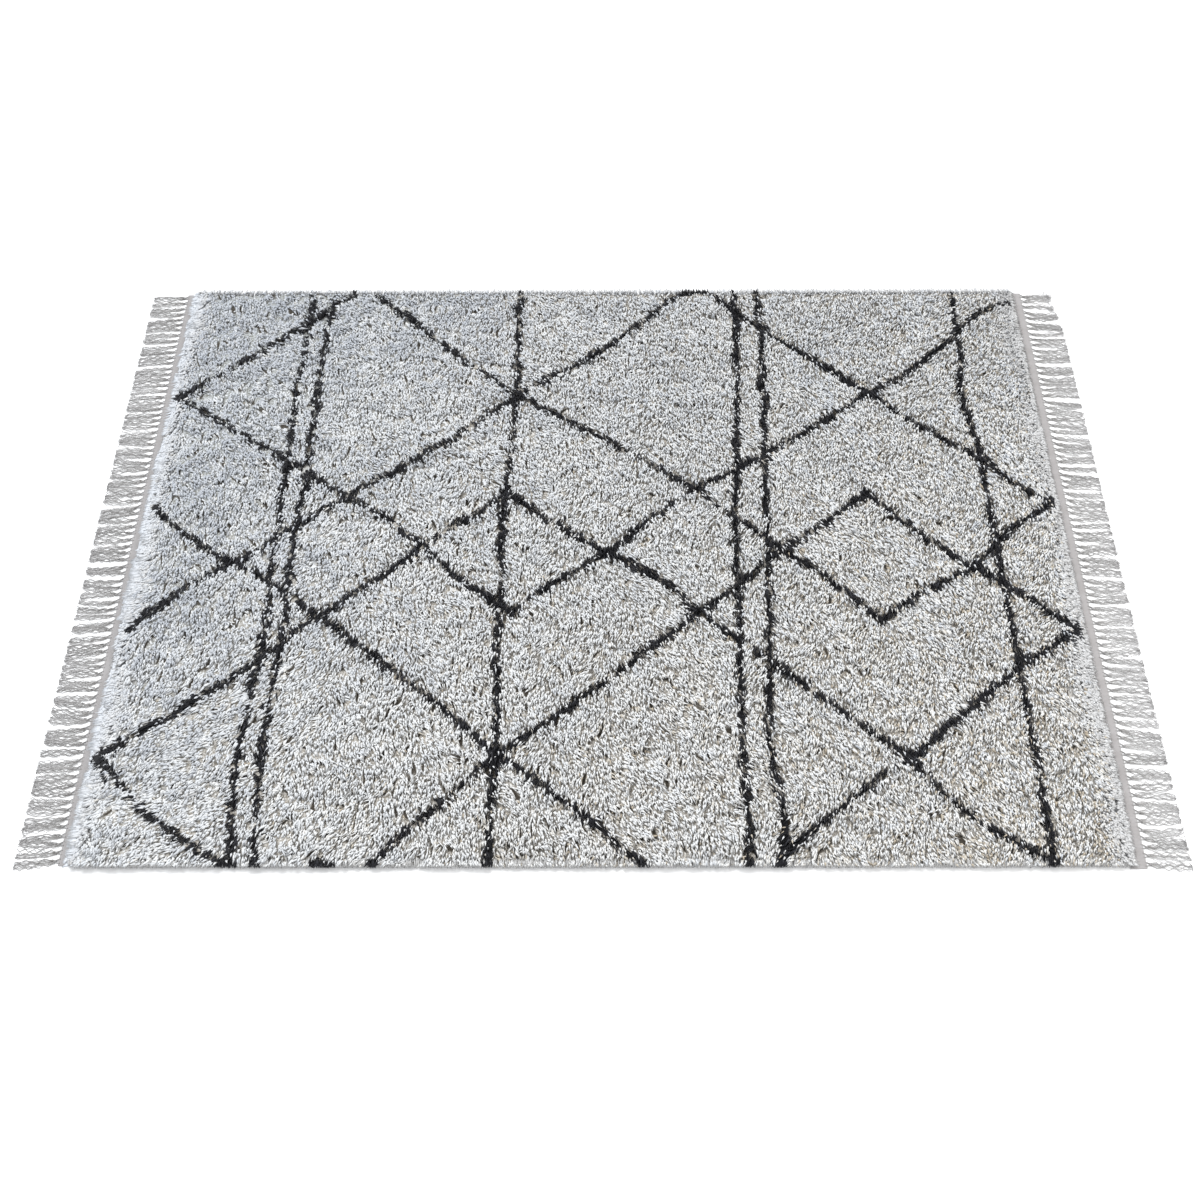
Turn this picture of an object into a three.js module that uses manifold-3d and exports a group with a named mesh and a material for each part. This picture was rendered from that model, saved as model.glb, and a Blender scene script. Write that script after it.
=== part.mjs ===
// A tufted cotton rug that lies flat: a shaggy pile field, and at each short end a flat
// woven band whose warp ends are gathered into a row of tassels.
// Millimetres, +Z up, +X along the rug, origin on the floor under its middle.
import * as THREE from "three";
import { mergeVertices } from "three/addons/utils/BufferGeometryUtils.js";
import Module from "manifold-3d";

const wasm = await Module();
wasm.setup();

// Driving sizes
const rugLength = 2500; // over both fringes
const rugDepth = 1600;
const pileLength = 2250; // over the pile's bulging ends
const pileHeight = 23.5; // mean height of the pile's top
const bandReach = 1153.5; // from the middle to the band's outer edge
const bandThickness = 3;
const pieceGap = 0.4; // between the pile's foot and the band

// The pile's slab
const gridStep = 50; // largest side of a cell of the pile's top
const cornerRound = 26;
const lumpHeight = 4.5; // how far the top swells and sinks about its mean
const jitter = 0.22; // how far a point of the top strays, as a share of a cell
const lumpReach = 2.6; // how far the rim draws in between its bulges
// The rim's section from the floor up: height, and how far in it lies from the pile's
// widest outline at a short end and at a long side.
const rimSection = [
  { height: 0, endInset: 6.5, sideInset: 9 },
  { height: 4.6, endInset: 6.5, sideInset: 7 },
  { height: 10, endInset: 2.6, sideInset: 4 },
  { height: 18, endInset: 3.6, sideInset: 5 },
];
const shoulderInset = 15; // where the rim turns into the top
const shoulderDrop = 2;

// The locks that stand out all round the rim. Reach is counted from the pile's widest
// outline, and rise from the floor.
const locksPerEnd = 26;
const locksPerSide = 38;
const lockSections = [
  { reach: -16, rise: 17, halfWidth: 11, halfThickness: 4.6 },
  { reach: -2, rise: 14, halfWidth: 9, halfThickness: 4.2 },
  { reach: 5, rise: 9.5, halfWidth: 4.5, halfThickness: 2.6 },
];
const lockSlant = 9; // how far a lock's tip leans along the rim

// The tassels
const tasselsPerEnd = 84;
const fringeDepth = 1594;
const tasselSlant = -7; // the tips lie a little nearer the viewer than the roots
const strayOfTips = 2.6; // how far a tassel's tips stray along the fringe
const tipUnevenness = 4;
const bow = 4; // how far the middle of a fringe reaches past its corners
// A tassel's section from root to tip: its share of the tassel's length, its share of the
// sideways slant, its width and its height over the floor.
const tasselSections = [
  { along: -0.05, slant: 0, width: 8, height: 2.5 },
  { along: 0.07, slant: 0.35, width: 5.5, height: 6 },
  { along: 0.28, slant: 0.65, width: 12.4, height: 5.4 },
  { along: 1, slant: 1, width: 12.6, height: 2.8 },
];
const topNarrowing = 0.62; // a tassel's top is narrower than its foot

const colours = { ivory: "#cfcfcb", greige: "#b2afa9" };

// A number from 0 to 1 that looks random and is the same each time.
function chance(index, salt) {
  const wave = Math.sin(index * 12.9898 + salt * 78.233) * 43758.5453;
  return wave - Math.floor(wave);
}

// Smooth lumps from -1 to 1: three slanting waves, each bent by another.
function lumps(x, y) {
  const a = Math.sin(x / 23 + 1.7 * Math.sin(y / 41));
  const b = Math.sin(y / 27 - x / 61 + 1.3 * Math.sin(x / 37));
  const c = Math.sin((x + y) / 17 + 2.1 * Math.sin((x - y) / 53));
  return (a + b + c) / 3;
}

function solidOf(vertices, triangles) {
  const geometry = new THREE.BufferGeometry();
  geometry.setAttribute("position", new THREE.Float32BufferAttribute(vertices.flat(), 3));
  geometry.setIndex(triangles.flat());
  const merged = mergeVertices(geometry);
  return new wasm.Manifold(
    new wasm.Mesh({
      numProp: 3,
      vertProperties: merged.attributes.position.array,
      triVerts: new Uint32Array(merged.index.array),
    }),
  );
}

// A closed solid through four-sided sections that are listed the same way round.
function skinned(sections) {
  const vertices = sections.flat();
  const triangles = [[0, 2, 1], [0, 3, 2]];
  for (let row = 0; row + 1 < sections.length; row++) {
    for (let side = 0; side < 4; side++) {
      const here = row * 4 + side;
      const next = row * 4 + ((side + 1) % 4);
      triangles.push([here, next, next + 4], [here, next + 4, here + 4]);
    }
  }
  const last = vertices.length - 4;
  triangles.push([last, last + 1, last + 2], [last, last + 2, last + 3]);
  return solidOf(vertices, triangles);
}

function meshOf(solid, name, colour) {
  const { vertProperties, triVerts } = solid.getMesh();
  const geometry = new THREE.BufferGeometry();
  geometry.setAttribute("position", new THREE.BufferAttribute(vertProperties, 3));
  geometry.setIndex(new THREE.BufferAttribute(triVerts, 1));
  geometry.computeVertexNormals();
  const material = new THREE.MeshStandardMaterial({ color: colour, roughness: 1, metalness: 0 });
  const mesh = new THREE.Mesh(geometry, material);
  mesh.name = name;
  return mesh;
}

// The pile's outline, inset from its widest reach: the points of the grid's edge, pushed
// out to a rectangle with rounded corners and made lumpy.
function rimRing(edge, endInset, sideInset, height) {
  const halfX = pileLength / 2 - endInset;
  const halfY = rugDepth / 2 - sideInset;
  return edge.map(({ across, away }) => {
    let x = across * halfX;
    let y = away * halfY;
    const cornerX = Math.sign(x) * (halfX - cornerRound);
    const cornerY = Math.sign(y) * (halfY - cornerRound);
    const outX = Math.abs(x) > Math.abs(cornerX) ? x - cornerX : 0;
    const outY = Math.abs(y) > Math.abs(cornerY) ? y - cornerY : 0;
    if (outX && outY) {
      const far = Math.hypot(outX, outY);
      x = cornerX + (outX / far) * cornerRound;
      y = cornerY + (outY / far) * cornerRound;
    }
    const bulge = height > bandThickness + 2 ? lumpReach * Math.min(0, lumps(x * 1.6, y * 1.6)) : 0;
    const atEnd = Math.abs(across) === 1;
    return [x + (atEnd ? Math.sign(x) * bulge : 0), y + (atEnd ? 0 : Math.sign(y) * bulge), height];
  });
}

function pileSlab() {
  const columns = Math.ceil(pileLength / gridStep);
  const rows = Math.ceil(rugDepth / gridStep);
  const halfX = pileLength / 2 - shoulderInset;
  const halfY = rugDepth / 2 - shoulderInset;
  const vertices = [];
  const triangles = [];
  for (let j = 0; j <= rows; j++) {
    for (let i = 0; i <= columns; i++) {
      const onEdge = i === 0 || j === 0 || i === columns || j === rows;
      const shift = onEdge ? 0 : gridStep * jitter;
      const index = j * (columns + 1) + i;
      const x = (2 * i / columns - 1) * halfX + shift * (2 * chance(index, 1) - 1);
      const y = (2 * j / rows - 1) * halfY + shift * (2 * chance(index, 2) - 1);
      const swell = lumpHeight * (0.6 * lumps(x, y) + 0.4 * (2 * chance(index, 3) - 1));
      vertices.push([x, y, pileHeight + swell - (onEdge ? shoulderDrop : 0)]);
      if (i < columns && j < rows) {
        const up = index + columns + 1;
        triangles.push([index, index + 1, up + 1], [index, up + 1, up]);
      }
    }
  }
  // The grid's edge, anticlockwise from the near left corner
  const edge = [];
  const spot = (i, j) =>
    edge.push({ index: j * (columns + 1) + i, across: 2 * i / columns - 1, away: 2 * j / rows - 1 });
  for (let i = 0; i < columns; i++) spot(i, 0);
  for (let j = 0; j < rows; j++) spot(columns, j);
  for (let i = columns; i > 0; i--) spot(i, rows);
  for (let j = rows; j > 0; j--) spot(0, j);
  const count = edge.length;
  let above = edge.map(({ index }) => index);
  for (const { height, endInset, sideInset } of [...rimSection].reverse()) {
    const start = vertices.length;
    vertices.push(...rimRing(edge, endInset, sideInset, height));
    for (let k = 0; k < count; k++) {
      const after = (k + 1) % count;
      triangles.push([above[k], start + k, start + after], [above[k], start + after, above[after]]);
    }
    above = edge.map((_, k) => start + k);
  }
  const foot = above.map((index) => new THREE.Vector2(vertices[index][0], vertices[index][1]));
  for (const [a, b, c] of THREE.ShapeUtils.triangulateShape(foot, [])) {
    triangles.push([above[a], above[c], above[b]]);
  }
  return solidOf(vertices, triangles);
}

// One lock of yarn at the rim: it leaves the pile at `place`, runs out along `outward`
// and droops, its tip leaning along the rim.
function rimLock(place, outward, index) {
  const along = [-outward[1], outward[0]];
  const lean = lockSlant * (2 * chance(index, 4) - 1);
  const size = 0.75 + 0.4 * chance(index, 5);
  const last = lockSections.length - 1;
  const sections = lockSections.map(({ reach, rise, halfWidth, halfThickness }, step) => {
    const slide = (lean * step) / last;
    const out = reach > 0 ? reach - 3 * chance(index, 6) : reach;
    const centre = [0, 1].map((axis) => place[axis] + outward[axis] * out + along[axis] * slide);
    const corner = (side, up) => [
      centre[0] + along[0] * side * halfWidth * size,
      centre[1] + along[1] * side * halfWidth * size,
      rise + up * halfThickness * size,
    ];
    return [corner(-1, -0.7), corner(1, -0.7), corner(0.8, 1), corner(-0.8, 1)];
  });
  return skinned(sections);
}

function rimLocks() {
  const locks = [];
  for (const sign of [-1, 1]) {
    for (let k = 0; k < locksPerEnd; k++) {
      const y = ((k + 0.3 + 0.4 * chance(k, 7 + sign)) / locksPerEnd - 0.5) * (rugDepth - 80);
      locks.push(rimLock([sign * (pileLength / 2 - 1), y], [sign, 0], locks.length));
    }
    for (let k = 0; k < locksPerSide; k++) {
      const x = ((k + 0.3 + 0.4 * chance(k, 11 + sign)) / locksPerSide - 0.5) * (pileLength - 80);
      locks.push(rimLock([x, sign * (rugDepth / 2 - 5)], [0, sign], locks.length));
    }
  }
  return locks;
}

// The length of a tassel at `place` along the fringe, from -1 near to 1 far.
function tasselLength(sign, index, place) {
  const full = rugLength / 2 - bandReach;
  const uneven = tipUnevenness * chance(index, 20 + sign) * Math.min(1, 8 * Math.abs(place));
  return full - bow * place * place - uneven;
}

function tassel(sign, index) {
  const place = (2 * (index + 0.5)) / tasselsPerEnd - 1;
  const length = tasselLength(sign, index, place);
  const root = (place * fringeDepth) / 2;
  const fromNearCorner = Math.min(1, index / 3); // the first tassels stay within the band
  const stray = strayOfTips * (2 * chance(index, 40 + sign) - 1);
  const slant = (tasselSlant + stray) * fromNearCorner;
  const size = 0.92 + 0.1 * chance(index, 30 + sign);
  const sections = tasselSections.map(({ along, slant: share, width, height }) => {
    const x = sign * (bandReach + along * length);
    const y = root + slant * share;
    const foot = (sign * width * size) / 2;
    const top = foot * topNarrowing;
    return [[x, y - foot, 0], [x, y + foot, 0], [x, y + top, height], [x, y - top, height]];
  });
  return skinned(sections);
}

// The flat woven band from beside the pile's foot to its outer edge, as one section
// carried along the rug's depth.
function endBand(sign) {
  const inner = pileLength / 2 - rimSection[0].endInset + pieceGap;
  const half = fringeDepth / 2;
  const section = (y) => [[sign * inner, y, 0], [sign * inner, y, bandThickness],
    [sign * bandReach, y, bandThickness], [sign * bandReach, y, 0]];
  const sections = [section(-half), section(half)];
  return skinned(sign > 0 ? sections : sections.reverse());
}

const joined = (solids) => solids.reduce((whole, solid) => whole.add(solid));

function fringe(sign) {
  const tassels = Array.from({ length: tasselsPerEnd }, (_, index) => tassel(sign, index));
  return joined([endBand(sign), ...tassels]);
}

const rug = new THREE.Group();
rug.add(meshOf(joined([pileSlab(), ...rimLocks()]), "pile", colours.ivory));
rug.add(meshOf(fringe(-1), "fringe_left", colours.greige));
rug.add(meshOf(fringe(1), "fringe_right", colours.greige));

export default rug;
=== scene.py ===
import math

import bpy
import numpy as np
from mathutils import Matrix, Vector


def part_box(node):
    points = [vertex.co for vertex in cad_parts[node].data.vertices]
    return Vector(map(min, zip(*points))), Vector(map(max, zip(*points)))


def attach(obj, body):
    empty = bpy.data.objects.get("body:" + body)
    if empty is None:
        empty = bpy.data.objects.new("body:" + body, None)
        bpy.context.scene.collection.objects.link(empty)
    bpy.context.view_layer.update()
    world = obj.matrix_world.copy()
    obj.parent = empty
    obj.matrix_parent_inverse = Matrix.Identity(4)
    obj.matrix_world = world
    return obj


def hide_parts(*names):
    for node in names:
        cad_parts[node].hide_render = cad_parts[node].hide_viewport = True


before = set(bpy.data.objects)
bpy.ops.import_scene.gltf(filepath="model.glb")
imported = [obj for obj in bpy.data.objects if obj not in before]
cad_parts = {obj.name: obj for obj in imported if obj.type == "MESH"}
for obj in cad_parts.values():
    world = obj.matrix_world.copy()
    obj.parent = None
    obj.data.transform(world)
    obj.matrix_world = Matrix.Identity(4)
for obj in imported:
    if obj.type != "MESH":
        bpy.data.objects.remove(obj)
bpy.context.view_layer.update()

# A shaggy cotton rug: ivory tufts with charcoal lattice lines on a woven ground, and at each
# short end a flat woven band with gathered tassels. Metres, +X along the rug, +Z up.

mm = 0.001
seed = 4207
leastLength = 1e-9  # is added to a length that divides, which is then never 0
sideNudge = 1e-6  # gives an upright yarn a side too
rugMap = "OFBake"  # the map that every piece's material reads
mapLook = {
    "fill": 0.99,  # the share of the map that a flat piece takes up
    "margin": 0.005,
    "unseen": 0.002,  # the width of the corner that unseen faces share
    "root": 0.01,  # a yarn's root, bend and tip along the map
    "bend": 0.60,
    "tip": 0.99,
    "cordSpread": 0.006,  # of the tone round a cord
    "tuftSpread": 0.0016,  # of the tone from a tuft's middle to its edges
}
# The seed of each kind of unevenness; a fringe adds its own sign
seeds = {
    "wanderX": 11, "wanderY": 12, "lineWidth": 13, "lineFray": 14, "trend": 21, "patch": 22,
    "tone": 24, "endZone": 25, "swell": 29, "lock": 31, "clump": 41, "stitch": 61, "ripple": 51,
    "tasselLength": 20, "tasselSlant": 40, "tasselSprawl": 50, "tasselMerge": 52, "tasselBend": 60,
}

rugSize = {
    "halfLength": 1.25,
    "halfDepth": 0.8,
    "pileHalfLength": 1.125,  # to the pile's bulging ends
    "bandInner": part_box("fringe_right")[0][0],  # the bands' edges beside the pile's foot
    "bandReach": 1.1535,  # to the bands' outer edges
    "bandThick": 3 * mm,
    "fringeHalfDepth": 0.797,
}


def randomFor(name):
    # the same numbers each run, and others for each piece
    return np.random.default_rng([seed, sum(ord(letter) * (k + 1) for k, letter in enumerate(name))])


chanceWave = {"perIndex": 12.9898, "perSalt": 78.233, "size": 43758.5453}


def chance(index, salt):
    # the fraction of a large sine wave: 0 to 1, and as even as a random number
    wave = np.sin(index * chanceWave["perIndex"] + salt * chanceWave["perSalt"]) * chanceWave["size"]
    return wave - np.floor(wave)


def easeCurve(t):
    # an S curve: three squares less two cubes
    return t * t * (3 - 2 * t)


def blendBetween(low, high, value):
    # 0 below low, 1 above high and an S curve between
    return easeCurve(np.clip((value - low) / (high - low), 0, 1))


noiseTables = {}
noiseLook = {"cells": 256, "shiftX": 1000.37, "shiftY": 1000.71}  # the shifts keep places above 0


def noise(x, y, size, salt):
    # random numbers at the corners of squares of this size, joined by S curves: -1 to 1
    cells = noiseLook["cells"]
    if salt not in noiseTables:
        noiseTables[salt] = np.random.default_rng([seed, salt]).uniform(-1, 1, (cells, cells))
    table = noiseTables[salt]
    u, v = x / size + noiseLook["shiftX"], y / size + noiseLook["shiftY"]
    i, j = np.floor(u).astype(int), np.floor(v).astype(int)
    s, t = easeCurve(u - i), easeCurve(v - j)
    i, j, i1, j1 = i % cells, j % cells, (i + 1) % cells, (j + 1) % cells
    low = table[i, j] * (1 - s) + table[i1, j] * s
    return low * (1 - t) + (table[i, j1] * (1 - s) + table[i1, j1] * s) * t


def meshPiece(name, points, faces, uv, smooth=True, unseen=0):
    # points is (n, 3), faces a list of whole arrays of triangles or quads, uv is (n, 2); the
    # last few arrays of faces may be unseen ones, which share a small corner of the map
    corners = np.concatenate([f.ravel() for f in faces]).astype(np.int32)
    sides = np.concatenate([np.full(len(f), f.shape[1]) for f in faces])
    starts = np.concatenate([[0], np.cumsum(sides)[:-1]]).astype(np.int32)
    mesh = bpy.data.meshes.new(name)
    mesh.vertices.add(len(points))
    mesh.vertices.foreach_set("co", np.asarray(points, np.float32).ravel())
    mesh.loops.add(len(corners))
    mesh.loops.foreach_set("vertex_index", corners)
    mesh.polygons.add(len(sides))
    mesh.polygons.foreach_set("loop_start", starts)
    mesh.update(calc_edges=True)
    mesh.polygons.foreach_set("use_smooth", np.full(len(sides), smooth))
    places = np.asarray(uv, np.float32)[corners]
    if unseen:
        hidden = sum(f.size for f in faces[-unseen:])
        places[-hidden:] = mapLook["unseen"] / 2 + mapLook["unseen"] * places[-hidden:]
    layer = mesh.uv_layers.new(name=rugMap)
    layer.uv.foreach_set("vector", places.ravel())
    piece = bpy.data.objects.new(name, mesh)
    bpy.context.scene.collection.objects.link(piece)
    return piece


def addAttribute(piece, name, values):
    made = piece.data.attributes.new(name, "FLOAT", "POINT")
    made.data.foreach_set("value", np.asarray(values, np.float32))


def gridFaces(rows, columns):
    # quads over a grid of rows by columns points, listed row by row
    i, j = np.meshgrid(np.arange(columns - 1), np.arange(rows - 1))
    first = (j * columns + i).ravel()
    return np.stack([first, first + 1, first + columns + 1, first + columns], 1)


def wear(piece, material, node):
    # its material and slot, and the solid that it stands in for, on the rug's only body
    piece.data.materials.append(material)
    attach(piece, "root")
    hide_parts(node)
    return piece


def tubes(centres, radius, sides, tone, flat=1.0):
    # centres is (tubes, rings, 3) and radius (tubes, rings): a ring of corners stands across
    # the path at each centre, and a face closes each end; flat is its height over its width
    count, rings = centres.shape[:2]
    way = np.gradient(centres, axis=1)
    way /= np.linalg.norm(way, axis=2)[..., None]
    sideA = np.cross(way, [0, 0, 1.0])
    sideA /= np.linalg.norm(sideA, axis=2)[..., None]
    sideB = np.cross(sideA, way)
    turn = 2 * math.pi * (np.arange(sides) + 0.5) / sides
    ring = np.cos(turn)[:, None] * sideA[:, :, None] + flat * np.sin(turn)[:, None] * sideB[:, :, None]
    ring = centres[:, :, None] + radius[:, :, None, None] * ring
    number = np.arange(count * rings * sides).reshape(count, rings, sides)
    here, after = number, np.roll(number, -1, axis=2)
    walls = np.stack([here[:, :-1], here[:, 1:], after[:, 1:], after[:, :-1]], -1).reshape(-1, 4)
    ends = [number[:, 0], number[:, -1, ::-1]]
    uv = np.empty((count, rings, sides, 2))
    across = (np.abs(np.arange(sides) - sides / 2) / sides - 0.25) * mapLook["cordSpread"]
    uv[..., 0] = np.clip(tone[:, None, None] + across, 0, 1)
    uv[..., 1] = np.linspace(mapLook["root"], mapLook["tip"], rings)[None, :, None]
    return ring.reshape(-1, 3), [walls, *ends], uv.reshape(-1, 2)


# The lattice: named crossings and ends of lines, in metres from the rug's middle
crossings = {
    "a": (-1.115, 0.430), "b": (-0.635, 0.125), "c": (-0.225, 0.438), "d": (-0.235, 0.133),
    "e": (-0.440, -0.018), "f": (0.014, -0.038), "g": (-0.215, -0.203), "h": (-0.665, -0.207),
    "i": (-0.888, -0.066), "j": (-1.115, -0.555), "k": (-0.227, -0.552), "l": (0.229, -0.199),
    "m": (0.233, 0.145), "n": (0.426, 0.660), "o": (0.695, 0.442), "p": (0.960, 0.648),
    "q": (0.956, 0.237), "r": (1.110, 0.105), "s": (0.438, -0.026), "t": (0.659, 0.137),
    "u": (0.892, -0.082), "v": (0.655, -0.215), "w": (0.960, -0.126), "x": (1.111, -0.247),
    "y": (0.956, -0.343), "z": (0.679, -0.560), "za": (0.952, -0.790), "zb": (0.394, -0.770),
}
lineEnds = {
    "farA": (-0.685, 0.785), "farB": (-0.625, 0.785), "farC": (0.210, 0.785),
    "farD": (0.295, 0.785), "farE": (1.113, 0.750), "endA": (-1.115, 0.097),
    "endB": (-1.107, -0.246), "nearA": (-0.792, -0.800), "nearB": (-0.489, -0.800),
    "nearC": (0.096, -0.800), "nearD": (0.374, -0.800), "nearE": (-0.605, -0.800),
    "nearF": (-0.565, -0.800),
}
# Each slanting line: from, to, and how far its middle bows to the left of that way, in mm
slantLines = [
    ("a", "farA", -8), ("a", "b", 3), ("farB", "c", -5), ("c", "farC", -20), ("c", "m", 5),
    ("c", "b", 12), ("b", "i", 0), ("i", "endB", -12), ("b", "e", 10), ("d", "e", 2),
    ("d", "f", -4), ("e", "g", -6), ("e", "h", 10), ("endA", "i", -12), ("i", "h", 8),
    ("h", "j", 18), ("h", "k", 7), ("j", "nearA", -17), ("k", "nearB", -3), ("k", "nearC", 8),
    ("k", "l", -6), ("f", "g", -9), ("f", "l", 15), ("m", "f", -8), ("m", "s", -2),
    ("m", "o", -10), ("farC", "farD", 6), ("farD", "n", 0), ("n", "o", 2), ("o", "p", -12),
    ("p", "farE", 18), ("o", "q", -9), ("q", "r", -10), ("r", "u", -15), ("s", "t", -8),
    ("t", "u", -12), ("u", "w", 0), ("w", "x", 2), ("u", "v", -9), ("s", "v", 3),
    ("s", "l", 4), ("l", "z", 4), ("z", "y", 0), ("y", "x", 2), ("z", "za", -24),
    ("z", "zb", -6), ("zb", "nearD", 0), ("nearE", "nearF", 0),
]
# Each upright line's place along the rug where it passes these distances from the middle
uprightRows = (0.79, 0.64, 0.44, 0.24, 0.04, -0.20, -0.34, -0.55, -0.69, -0.80)
uprightLines = {
    "leftOuter": (-0.795, -0.798, -0.805, -0.797, -0.792, -0.788, -0.790, -0.802, -0.795, -0.778),
    "leftInner": (-0.742, -0.745, -0.748, -0.742, -0.750, -0.742, -0.748, -0.752, -0.738, -0.733),
    "middle": (-0.226, -0.228, -0.225, -0.233, -0.247, -0.238, -0.240, -0.228, -0.242, -0.234),
    "rightOuter": (0.362, 0.360, 0.354, 0.340, 0.327, 0.322, 0.319, 0.316, 0.320, 0.313),
    "rightInner": (0.420, 0.426, 0.420, 0.411, 0.406, 0.394, 0.386, 0.373, 0.398, 0.385),
    "farRight": (0.957, 0.958, 0.936, 0.957, 0.955, 0.956, 0.957, 0.955, 0.955, 0.952),
}
lineLook = {
    "halfWidth": 8.3 * mm,
    "unevenness": 0.38,  # share by which it swells and thins along its way
    "unevenSize": 55 * mm,
    "knotGain": 3 * mm,  # how much wider it is where lines cross
    "knotReach": 22 * mm,
    "wander": 4 * mm,
    "wanderSize": 38 * mm,
    "fray": 4.2 * mm,
    "fraySize": 12 * mm,
    "stitchFray": 2.2 * mm,  # how far a few like-dyed yarns stand in or out of the edge
    "yarnFray": 1.6 * mm,  # the same for single yarns
    "missed": 0.06,  # the share of yarns in a line that are ivory
    "longer": 0.6,  # share of the lean by which some charcoal tips reach further
    "stray": 3.5 * mm,  # of the charcoal tips
    "thinner": 0.85,  # charcoal yarns than ivory ones
    "endGap": 6 * mm,  # between the charcoal tips and the pile's ends
    "steps": 14,  # straight pieces to a line
    "mapStep": 4 * mm,  # of the map that holds the distances
    "mapMargin": 0.03,
}


def linePaths():
    # a slanting line is a straight way plus a half sine wave to its left
    t = np.linspace(0, 1, lineLook["steps"] + 1)
    named = {**crossings, **lineEnds}
    for start, end, bow in slantLines:
        a, b = np.array(named[start]), np.array(named[end])
        way = (b - a) / np.linalg.norm(b - a)
        left = np.array([-way[1], way[0]])
        yield a + np.outer(t, b - a) + np.outer(np.sin(math.pi * t) * bow * mm, left)
    rows = np.linspace(uprightRows[0], uprightRows[-1], 3 * lineLook["steps"])
    for places in uprightLines.values():
        yield np.stack([np.interp(-rows, -np.array(uprightRows), places), rows], 1)


def distanceMap():
    # for each point of a grid over the rug, the way to the nearest line
    step, margin = lineLook["mapStep"], lineLook["mapMargin"]
    across = np.arange(-rugSize["pileHalfLength"] - margin, rugSize["pileHalfLength"] + margin, step)
    away = np.arange(-rugSize["halfDepth"] - margin, rugSize["halfDepth"] + margin, step)
    x, y = np.meshgrid(across, away, indexing="ij")
    nearest = np.full(x.shape, np.inf)
    for path in linePaths():
        for a, b in zip(path[:-1], path[1:]):
            way = b - a
            share = ((x - a[0]) * way[0] + (y - a[1]) * way[1]) / (way @ way)
            share = np.clip(share, 0, 1)
            nearest = np.minimum(nearest, np.hypot(x - a[0] - share * way[0], y - a[1] - share * way[1]))
    return across[0], away[0], nearest


mapLeft, mapNear, nearestLine = distanceMap()


def wanderAt(x, y, key):
    # how far the lines stray from their paths here
    return lineLook["wander"] * noise(x, y, lineLook["wanderSize"], seeds[key])


def inkAt(x, y, ragged=1.0):
    # how far inside a charcoal line a point lies, in metres: above 0 it is charcoal
    step = lineLook["mapStep"]
    bentX, bentY = x + wanderAt(x, y, "wanderX"), y + wanderAt(x, y, "wanderY")
    inMap = np.array(nearestLine.shape) - 1.001  # just inside the map's last squares
    u = np.clip((bentX - mapLeft) / step, 0, inMap[0])
    v = np.clip((bentY - mapNear) / step, 0, inMap[1])
    i, j = u.astype(int), v.astype(int)
    s, t = u - i, v - j
    low = nearestLine[i, j] * (1 - s) + nearestLine[i + 1, j] * s
    high = nearestLine[i, j + 1] * (1 - s) + nearestLine[i + 1, j + 1] * s
    uneven = lineLook["unevenness"] * noise(x, y, lineLook["unevenSize"], seeds["lineWidth"])
    gain = np.zeros_like(x)
    for knotX, knotY in crossings.values():
        away = ((x - knotX) ** 2 + (y - knotY) ** 2) / lineLook["knotReach"] ** 2
        gain = np.maximum(gain, np.exp(-away))
    fray = ragged * lineLook["fray"] * noise(x, y, lineLook["fraySize"], seeds["lineFray"])
    width = lineLook["halfWidth"] * (1 + uneven) + lineLook["knotGain"] * gain + fray
    return width - (low * (1 - t) + high * t)


print("rug: lattice lines laid out")


# Partings, where the pile opens on its depth, shown as painted shade on the bed and on the tufts beside
# it: the curves on which a sum of waves is 0.
# Each wave: its length in mm, the way it runs in degrees from +X, and its phase
partingWaves = [(44, 6, 0.0), (57, -19, 1.7), (71, 29, 4.1), (103, 80, 2.6)]
openWaves = [(61, 84, 0.6), (83, -52, 3.3), (47, 101, 5.0), (5200, -150, 0.0)]
partingLook = {
    "opening": 0.75,  # how far from 0 the wave sum is kept by a yarn beside an open parting
    "openFrom": -0.2,  # partings open where the second sum of waves is above this
    "openTo": 1.2,
    "least": 0.02,  # the opening below which yarns stay where they are
    "leastSlope": 20,  # per metre
    "largestStep": 7 * mm,
    "sink": 3.5 * mm,  # of the tips beside a parting
    "shade": 0.35,  # painted shade: by which their tone falls
    "reach": 4 * mm,
    "dark": (0.25, 0.60),  # the bed takes the painted shade where the sum is below the first
    # the painted shade of the open partings' depth, laid on the bed
    "colour": (0.05, 0.042, 0.032),
}


# Shader node groups, and what the materials share
yarnLook = {
    "specular": 0.25,
    "sheenRoughness": 0.5,
    "slant": 90.0,  # turns of the plies over the whole range of tones
    "bump": 0.5,
    "bumpDepth": 0.4 * mm,
}


def newGroup(name, inputs, outputs):
    group = bpy.data.node_groups.new(name, "ShaderNodeTree")
    for label, kind, value in inputs:
        socket = group.interface.new_socket(label, in_out="INPUT", socket_type=kind)
        if value is not None:
            socket.default_value = value
    for label, kind in outputs:
        group.interface.new_socket(label, in_out="OUTPUT", socket_type=kind)
    source = group.nodes.new("NodeGroupInput")
    target = group.nodes.new("NodeGroupOutput")
    return group, source, target


def mathNode(tree, operation, a, b=None, c=None):
    node = tree.nodes.new("ShaderNodeMath")
    node.operation = operation
    for socket, value in zip(node.inputs, (a, b, c)):
        if isinstance(value, (int, float)):
            socket.default_value = value
        elif value is not None:
            tree.links.new(value, socket)
    return node.outputs[0]


def mixColour(tree, share, a, b, way="MIX"):
    node = tree.nodes.new("ShaderNodeMix")
    node.data_type = "RGBA"
    node.blend_type = way
    named = {socket.identifier: socket for socket in node.inputs}
    for key, value in (("Factor_Float", share), ("A_Color", a), ("B_Color", b)):
        if isinstance(value, (int, float)):
            named[key].default_value = value
        elif isinstance(value, tuple):
            named[key].default_value = (*value, 1)
        else:
            tree.links.new(value, named[key])
    return next(socket for socket in node.outputs if socket.identifier == "Result_Color")


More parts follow.
